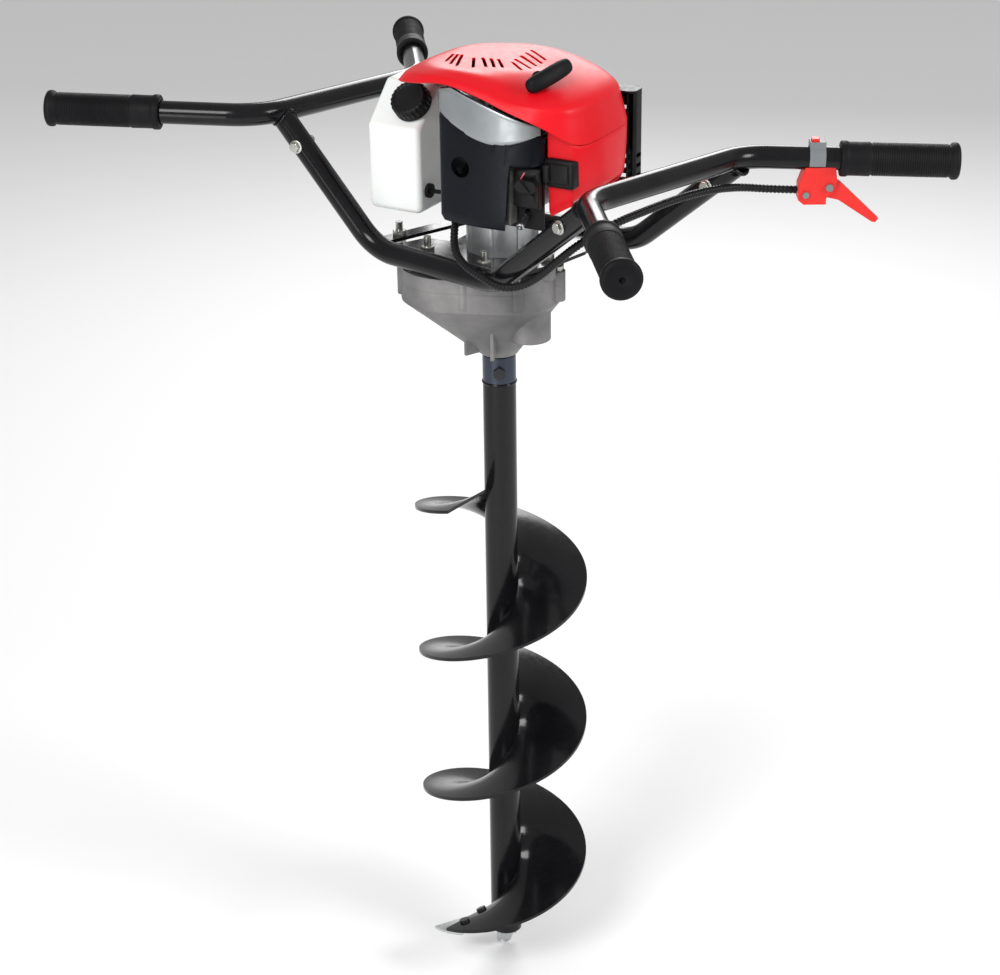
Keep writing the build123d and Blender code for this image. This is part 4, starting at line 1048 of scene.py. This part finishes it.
@dataclass
class TopCover:
    """Red fan cover: flat crown with air slots, rolled shoulder and brim."""

    crown: float = 1.1376
    stations: Sequence[Tuple[Point, Point, Point]] = (
        ((-0.058, 0.004, 1.1368), (-0.083, 0.004, 1.1255), (-0.089, 0.004, 1.1090)),
        ((-0.050, -0.036, 1.1372), (-0.078, -0.058, 1.1290), (-0.087, -0.066, 1.1180)),
        ((-0.026, -0.056, 1.1376), (-0.045, -0.084, 1.1345), (-0.052, -0.092, 1.1250)),
        ((-0.004, -0.062, 1.1376), (-0.012, -0.088, 1.1360), (-0.014, -0.0965, 1.1290)),
        ((0.022, -0.056, 1.1370), (0.026, -0.089, 1.1285), (0.026, -0.0970, 1.1205)),
        ((0.044, -0.046, 1.1355), (0.060, -0.087, 1.1190), (0.062, -0.0960, 1.1080)),
        ((0.064, -0.030, 1.1340), (0.094, -0.080, 1.1150), (0.098, -0.0900, 1.0950)),
        ((0.076, -0.014, 1.1325), (0.117, -0.062, 1.1130), (0.1270, -0.0640, 1.0735)),
        ((0.080, 0.006, 1.1325), (0.126, -0.014, 1.1140), (0.1358, -0.010, 1.0735)),
        ((0.068, 0.030, 1.1345), (0.114, 0.048, 1.1140), (0.124, 0.0560, 1.0735)),
        ((0.040, 0.052, 1.1365), (0.062, 0.078, 1.1220), (0.068, 0.0860, 1.0800)),
        ((0.004, 0.062, 1.1372), (0.006, 0.088, 1.1230), (0.006, 0.0965, 1.0800)),
        ((-0.034, 0.048, 1.1372), (-0.052, 0.072, 1.1240), (-0.058, 0.0780, 1.0800)),
        ((-0.054, 0.028, 1.1370), (-0.074, 0.042, 1.1250), (-0.072, 0.0540, 1.1060)),
    )
    slots: Sequence[Tuple[float, float, float, float]] = (
        (-0.040, -0.012, -0.022, -0.054), (-0.045, -0.013, -0.032, -0.050), (-0.050, -0.014, -0.042, -0.042),
        (-0.0215, -0.019, -0.003, -0.052), (-0.013, -0.0145, 0.008, -0.044), (-0.004, -0.013, 0.0155, -0.040),
        (0.004, -0.011, 0.0235, -0.036), (0.022, -0.013, 0.044, -0.032), (0.019, -0.001, 0.048, -0.020),
        (0.019, 0.0126, 0.047, -0.007), (0.017, 0.026, 0.048, 0.004), (0.017, 0.038, 0.046, 0.016),
    )

    def build(self) -> Object:
        """Make the cover in place of its CAD node."""
        columns = []
        centre = Vector((0.004, 0.0, self.crown + 0.0004))
        for top, shoulder, brim in self.stations:
            t, s, b = Vector(top), Vector(shoulder), Vector(brim)
            line = [centre.lerp(t, 0.35), centre.lerp(t, 0.7), t, t.lerp(s, 0.55) + Vector((0, 0, 0.0028)), s,
                    s.lerp(b, 0.35) + (Vector((s.x, s.y, 0)).normalized() * 0.0016), b]
            columns.append(smooth_line(line, 4, False))
        rows = [smooth_line([column[r] for column in columns], 9, True) for r in range(len(columns[0]))]
        Cowl(rows[-1]).build()
        rings = [[on_engine(p) for p in row] for row in rows]
        verts, faces = skin(rings, closed_ends=False)
        faces.append(list(range(len(rings[0])))[::-1])
        cover = mesh_object("top_cover", verts, faces)
        self._face_out(cover)
        thicken(cover, 0.0024)
        cut_out(cover, self._cutters())
        self._shade(cover)
        shop.paint(cover, Surface.RED)
        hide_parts("recoil_housing")
        self._inner_deck()
        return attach(cover, "frame")

    def _face_out(self, obj: Object) -> None:
        """Turn the skin's normals upwards and outwards."""
        up = sum(p.normal.z * p.area for p in obj.data.polygons)
        if up < 0:
            obj.data.flip_normals()

    def _cutters(self) -> Object:
        """All air slots and the rope's hole as one cutter."""
        verts: List[Vector] = []
        faces: List[List[int]] = []
        for x0, y0, x1, y1 in self.slots:
            a, b = Vector((x0, y0, 0)), Vector((x1, y1, 0))
            ahead = (b - a).normalized()
            side = Vector((-ahead.y, ahead.x, 0)) * 0.0017
            ring = []
            for k in range(14):
                angle = pi * k / 6 - pi / 2
                end = b if k < 7 else a
                if k >= 7:
                    angle = pi * (k - 7) / 6 + pi / 2
                ring.append(end + ahead * 0.0017 * cos(angle) + side * sin(angle))
            low = [on_engine(p + Vector((0, 0, 1.128))) for p in ring]
            high = [on_engine(p + Vector((0, 0, 1.146))) for p in ring]
            v, f = skin([low, high])
            offset = len(verts)
            verts += v
            faces += [[i + offset for i in face] for face in f]
        hole_start = ROPE_EXIT - ROPE_PULL * 0.03
        u, w = frame_of(ROPE_PULL.normalized())
        turns = [2 * pi * k / 24 for k in range(24)]
        rings = [[on_engine(hole_start + ROPE_PULL * s + (u * cos(a) + w * sin(a)) * 0.0046) for a in turns]
                 for s in (0.0, 0.05)]
        v, f = skin(rings)
        offset = len(verts)
        verts += v
        faces += [[i + offset for i in face] for face in f]
        return mesh_object("slot_cutter", verts, faces, False)

    def _shade(self, obj: Object) -> None:
        """Smooth shading with sharp slot edges."""
        obj.data.shade_smooth()
        obj.data.set_sharp_from_angle(angle=radians(38))

    def _inner_deck(self) -> None:
        """Dark flat ring baffle seen through the slots."""
        rings = []
        section = ((0.012, 1.1262), (0.030, 1.1262), (0.0535, 1.1262), (0.0560, 1.1245), (0.0535, 1.1228),
                   (0.012, 1.1228))
        turns = [2 * pi * k / 64 for k in range(64)]
        for radius, z in section:
            rings.append([on_engine((radius * cos(a), radius * sin(a), z)) for a in turns])
        verts, faces = skin(rings + [rings[0]], closed_ends=False)
        deck = mesh_object("cover_baffle", verts, faces)
        shop.paint(deck, Surface.BLACK)
        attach(deck, "frame")


@dataclass
class FilterCover:
    """Bowed black filter cover with its silver panel, screw well and choke ledge."""

    plan: Sequence[Tuple[float, float]] = (
        (-0.0245, -0.0745), (-0.0250, -0.0850), (-0.0215, -0.0915), (-0.0120, -0.0950), (0.0050, -0.0975),
        (0.0250, -0.0985),
        (0.0450, -0.0978), (0.0620, -0.0955), (0.0780, -0.0905), (0.0880, -0.0840), (0.0935, -0.0745),
    )

    def top(self, x: float) -> float:
        """Height of the cover's upper edge, just under the red brim."""
        return 1.1262 - 0.335 * max(0.0, x + 0.006) - 0.25 * max(0.0, -x - 0.006)

    def foot(self, x: float) -> float:
        """Height of the cover's lower edge, raised over the carburettor's adjusters."""
        blend = min(1.0, max(0.0, (x - 0.058) / 0.006))
        return 0.9785 + 0.0695 * blend * blend * (3 - 2 * blend)

    def seam(self, x: float) -> float:
        """Height of the silver panel's lower edge."""
        t = min(1.0, max(0.0, (x + 0.022) / 0.112))
        return 1.0970 - 0.02385 * sin(pi * min(1.0, t * 0.84)) - 0.004 * t

    def build(self) -> None:
        """Make the cover, the panel, the well and the ledge."""
        line = smooth_line([Vector((x, y, 0)) for x, y in self.plan], 7, False)
        self._shell(line)
        self._panel(line)
        self._well()
        self._ledge()

    def _shell(self, line: Sequence[Vector]) -> None:
        """Bowed wall with rolled edges and the hole of the screw."""
        inward = self._inward(line)
        rings = []
        for level in range(25):
            t = level / 24
            ring = []
            for p, n in zip(line, inward):
                low, high = self.foot(p.x), self.top(p.x)
                z = low + (high - low) * t
                edge = min(z - low, high - z)
                pull = 0.0030 * max(0.0, 1 - edge / 0.005) ** 2
                dish = 0.0011 if z > self.seam(p.x) else 0.0
                q = p + n * (pull + dish)
                ring.append(on_engine((q.x, q.y, z)))
            rings.append(ring)
        verts = [v for ring in rings for v in ring]
        count = len(line)
        faces = [[r * count + k, r * count + k + 1, (r + 1) * count + k + 1, (r + 1) * count + k]
                 for r in range(24) for k in range(count - 1)]
        cover = mesh_object("filter_cover_shell", verts, faces)
        outside = on_engine((0.02, -1.0, 1.05)) - on_engine((0.02, 0.0, 1.05))
        if sum(p.normal.dot(outside) * p.area for p in cover.data.polygons) < 0:
            cover.data.flip_normals()
        thicken(cover, 0.0023)
        hole = lathe("well_cutter", on_engine((0.006, -0.110, 1.042)),
                     on_engine((0.006, 0.0, 1.042)) - on_engine((0.006, -0.110, 1.042)),
                     [(0.0, 0.0001), (0.0, 0.0111), (0.020, 0.0111), (0.020, 0.0001)], 40)
        cut_out(cover, hole)
        cover.data.shade_smooth()
        cover.data.set_sharp_from_angle(angle=radians(40))
        shop.paint(cover, Surface.COVER_BLACK)
        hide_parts("filter_cover")
        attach(cover, "frame")

    def _inward(self, line: Sequence[Vector]) -> List[Vector]:
        """Directions square to a line, towards the engine."""
        result = []
        for i, _ in enumerate(line):
            ahead = (line[min(i + 1, len(line) - 1)] - line[max(i - 1, 0)]).normalized()
            result.append(Vector((-ahead.y, ahead.x, 0)))
        return result

    def _panel(self, line: Sequence[Vector]) -> None:
        """Silver panel that stands a little proud of the cover."""
        inward = self._inward(line)
        rings = []
        for level in range(15):
            t = level / 14
            ring = []
            for p, n in zip(line[3:-3], inward[3:-3]):
                low, high = self.seam(p.x) + 0.0006, self.top(p.x) - 0.0004
                z = low + (high - low) * t
                edge = min(z - low, high - z)
                rise = 0.0012 * min(1.0, edge / 0.0012) ** 0.5
                q = p + n * (0.0010 - rise)
                ring.append(on_engine((q.x, q.y, z)))
            rings.append(ring)
        count = len(rings[0])
        verts = [v for ring in rings for v in ring]
        faces = [[r * count + k, r * count + k + 1, (r + 1) * count + k + 1, (r + 1) * count + k]
                 for r in range(14) for k in range(count - 1)]
        panel = mesh_object("filter_panel_skin", verts, faces)
        outside = on_engine((0.02, -1.0, 1.05)) - on_engine((0.02, 0.0, 1.05))
        if sum(p.normal.dot(outside) * p.area for p in panel.data.polygons) < 0:
            panel.data.flip_normals()
        thicken(panel, 0.0008)
        panel.data.shade_smooth()
        panel.data.set_sharp_from_angle(angle=radians(50))
        shop.paint(panel, Surface.SILVER)
        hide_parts("filter_panel")
        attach(panel, "frame")

    def _well(self) -> None:
        """Round well down to the cover's screw."""
        start = on_engine((0.006, -0.0972, 1.042))
        axis = on_engine((0.006, 0.0, 1.042)) - start
        well = lathe("screw_well", start, axis,
                     [(0.0, 0.0112), (0.0006, 0.0104), (0.0100, 0.0098), (0.0100, 0.0074), (0.0110, 0.0074),
                      (0.0110, 0.0108), (0.0, 0.0114), (0.0, 0.0112)], 48)
        shop.paint(well, Surface.COVER_BLACK)
        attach(well, "frame")

    def _ledge(self) -> None:
        """Black ledge by the choke knob, with a slanted pink strip that is a painted highlight: the red
        cover's reflection.
        """
        ledge = box_mesh("choke_ledge", (0.0625, 0.0925), (-0.0832, -0.0745), (1.0030, 1.0470))
        soften(ledge, 0.0022, 3)
        pivot = on_engine((0.080, -0.060, 1.029))
        hole = lathe("pivot_cutter", pivot, on_engine((0.080, -0.100, 1.029)) - pivot,
                     [(0.0, 0.0001), (0.0, 0.0036), (0.040, 0.0036), (0.040, 0.0001)], 32)
        cut_out(ledge, hole)
        shop.paint(ledge, Surface.BLACK)
        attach(ledge, "frame")
        # Painted highlight: a thin pink strip on the ledge's face stands in for the red cover's reflection on
        # the black plastic.
        slant = ((0.0690, 1.0330), (0.0710, 1.0330), (0.0765, 1.0425), (0.0745, 1.0425))
        verts = [on_engine((x, y, z)) for y in (-0.0838, -0.0830) for x, z in slant]
        painted_reflection = mesh_object("choke_painted_reflection", verts, BOX_FACES, False)
        soften(painted_reflection, 0.0003, 2)
        shop.paint(painted_reflection, Surface.PAINTED_RED_REFLECTION)
        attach(painted_reflection, "frame")


def soften(obj: Object, width: float, segments: int = 2) -> None:
    """Round an object's edges."""
    bevel = obj.modifiers.new("edges", "BEVEL")
    bevel.width = width
    bevel.segments = segments
    bevel.limit_method = "ANGLE"
    bake(obj)
    obj.data.shade_smooth()
    obj.data.set_sharp_from_angle(angle=radians(40))


# ---- CAD nodes that keep their shape -------------------------------------------
NODE_SURFACES: Dict[Surface, str] = {
    Surface.ENAMEL: "auger_flight auger_tube",
    Surface.BLADE: "cutting_blade pilot_point",
    Surface.COUPLER: "auger_socket",
    Surface.STEEL: "output_shaft output_gear ball_bearings idler_shaft clutch_drum crankshaft connecting_rod"
                   " throttle_arm idle_screw",
    Surface.ZINC: "frame_bolts gearbox_screws spark_plug",
    Surface.BLACK_ZINC: "auger_bolts filter_screw",
    Surface.CAST: "gearbox_housing gearbox_cover carburettor",
    Surface.DIE_CAST: "clutch_housing clutch_shoes flywheel crankcase cylinder piston",
    Surface.HOT_STEEL: "muffler",
    Surface.RUBBER: "oil_seal plug_boot fuel_line right_grip front_grip left_grip back_grip starter_grip"
                    " throttle_conduit",
    Surface.BLACK: "ignition_coil muffler_guard choke_lever filter_base recoil_reel fuel_cap",
    Surface.COVER_BLACK: "filter_cover",
    Surface.SILVER: "filter_panel",
    Surface.FOAM: "filter_element",
    Surface.RED: "recoil_housing engine_shroud",
    Surface.DARK_RED: "trigger_housing stop_button trigger_lever",
    Surface.GREY: "throttle_fittings",
    Surface.ROPE: "starter_rope",
    Surface.TANK: "fuel_tank",
    Surface.POWDER: "right_handlebar left_handlebar front_cradle_tube rear_cradle_tube cradle_plate",
}


def paint_nodes() -> None:
    """Give each CAD node its surface."""
    for surface, names in NODE_SURFACES.items():
        for name in names.split():
            shop.paint(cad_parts[name], surface)


def main() -> None:
    """Build the whole picture."""
    logging.basicConfig(level=logging.INFO, format="%(message)s")
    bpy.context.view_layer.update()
    Studio().build()
    log.info("studio built")
    paint_nodes()
    log.info("CAD nodes painted")
    for node, bar in (("right_grip", RIGHT_BAR), ("front_grip", RIGHT_BAR[::-1]), ("left_grip", LEFT_BAR),
                      ("back_grip", LEFT_BAR[::-1])):
        Grip(node, bar[0], bar[1]).build()
        log.info("%s built", node)
    Conduit(CONDUIT).build()
    Joints().build()
    log.info("joints of the frame built")
    Starter().build()
    FuelCap().build()
    IdleScrew().build()
    TopCover().build()
    FilterCover().build()
    log.info("covers built")


if __name__ == "__main__":
    main()
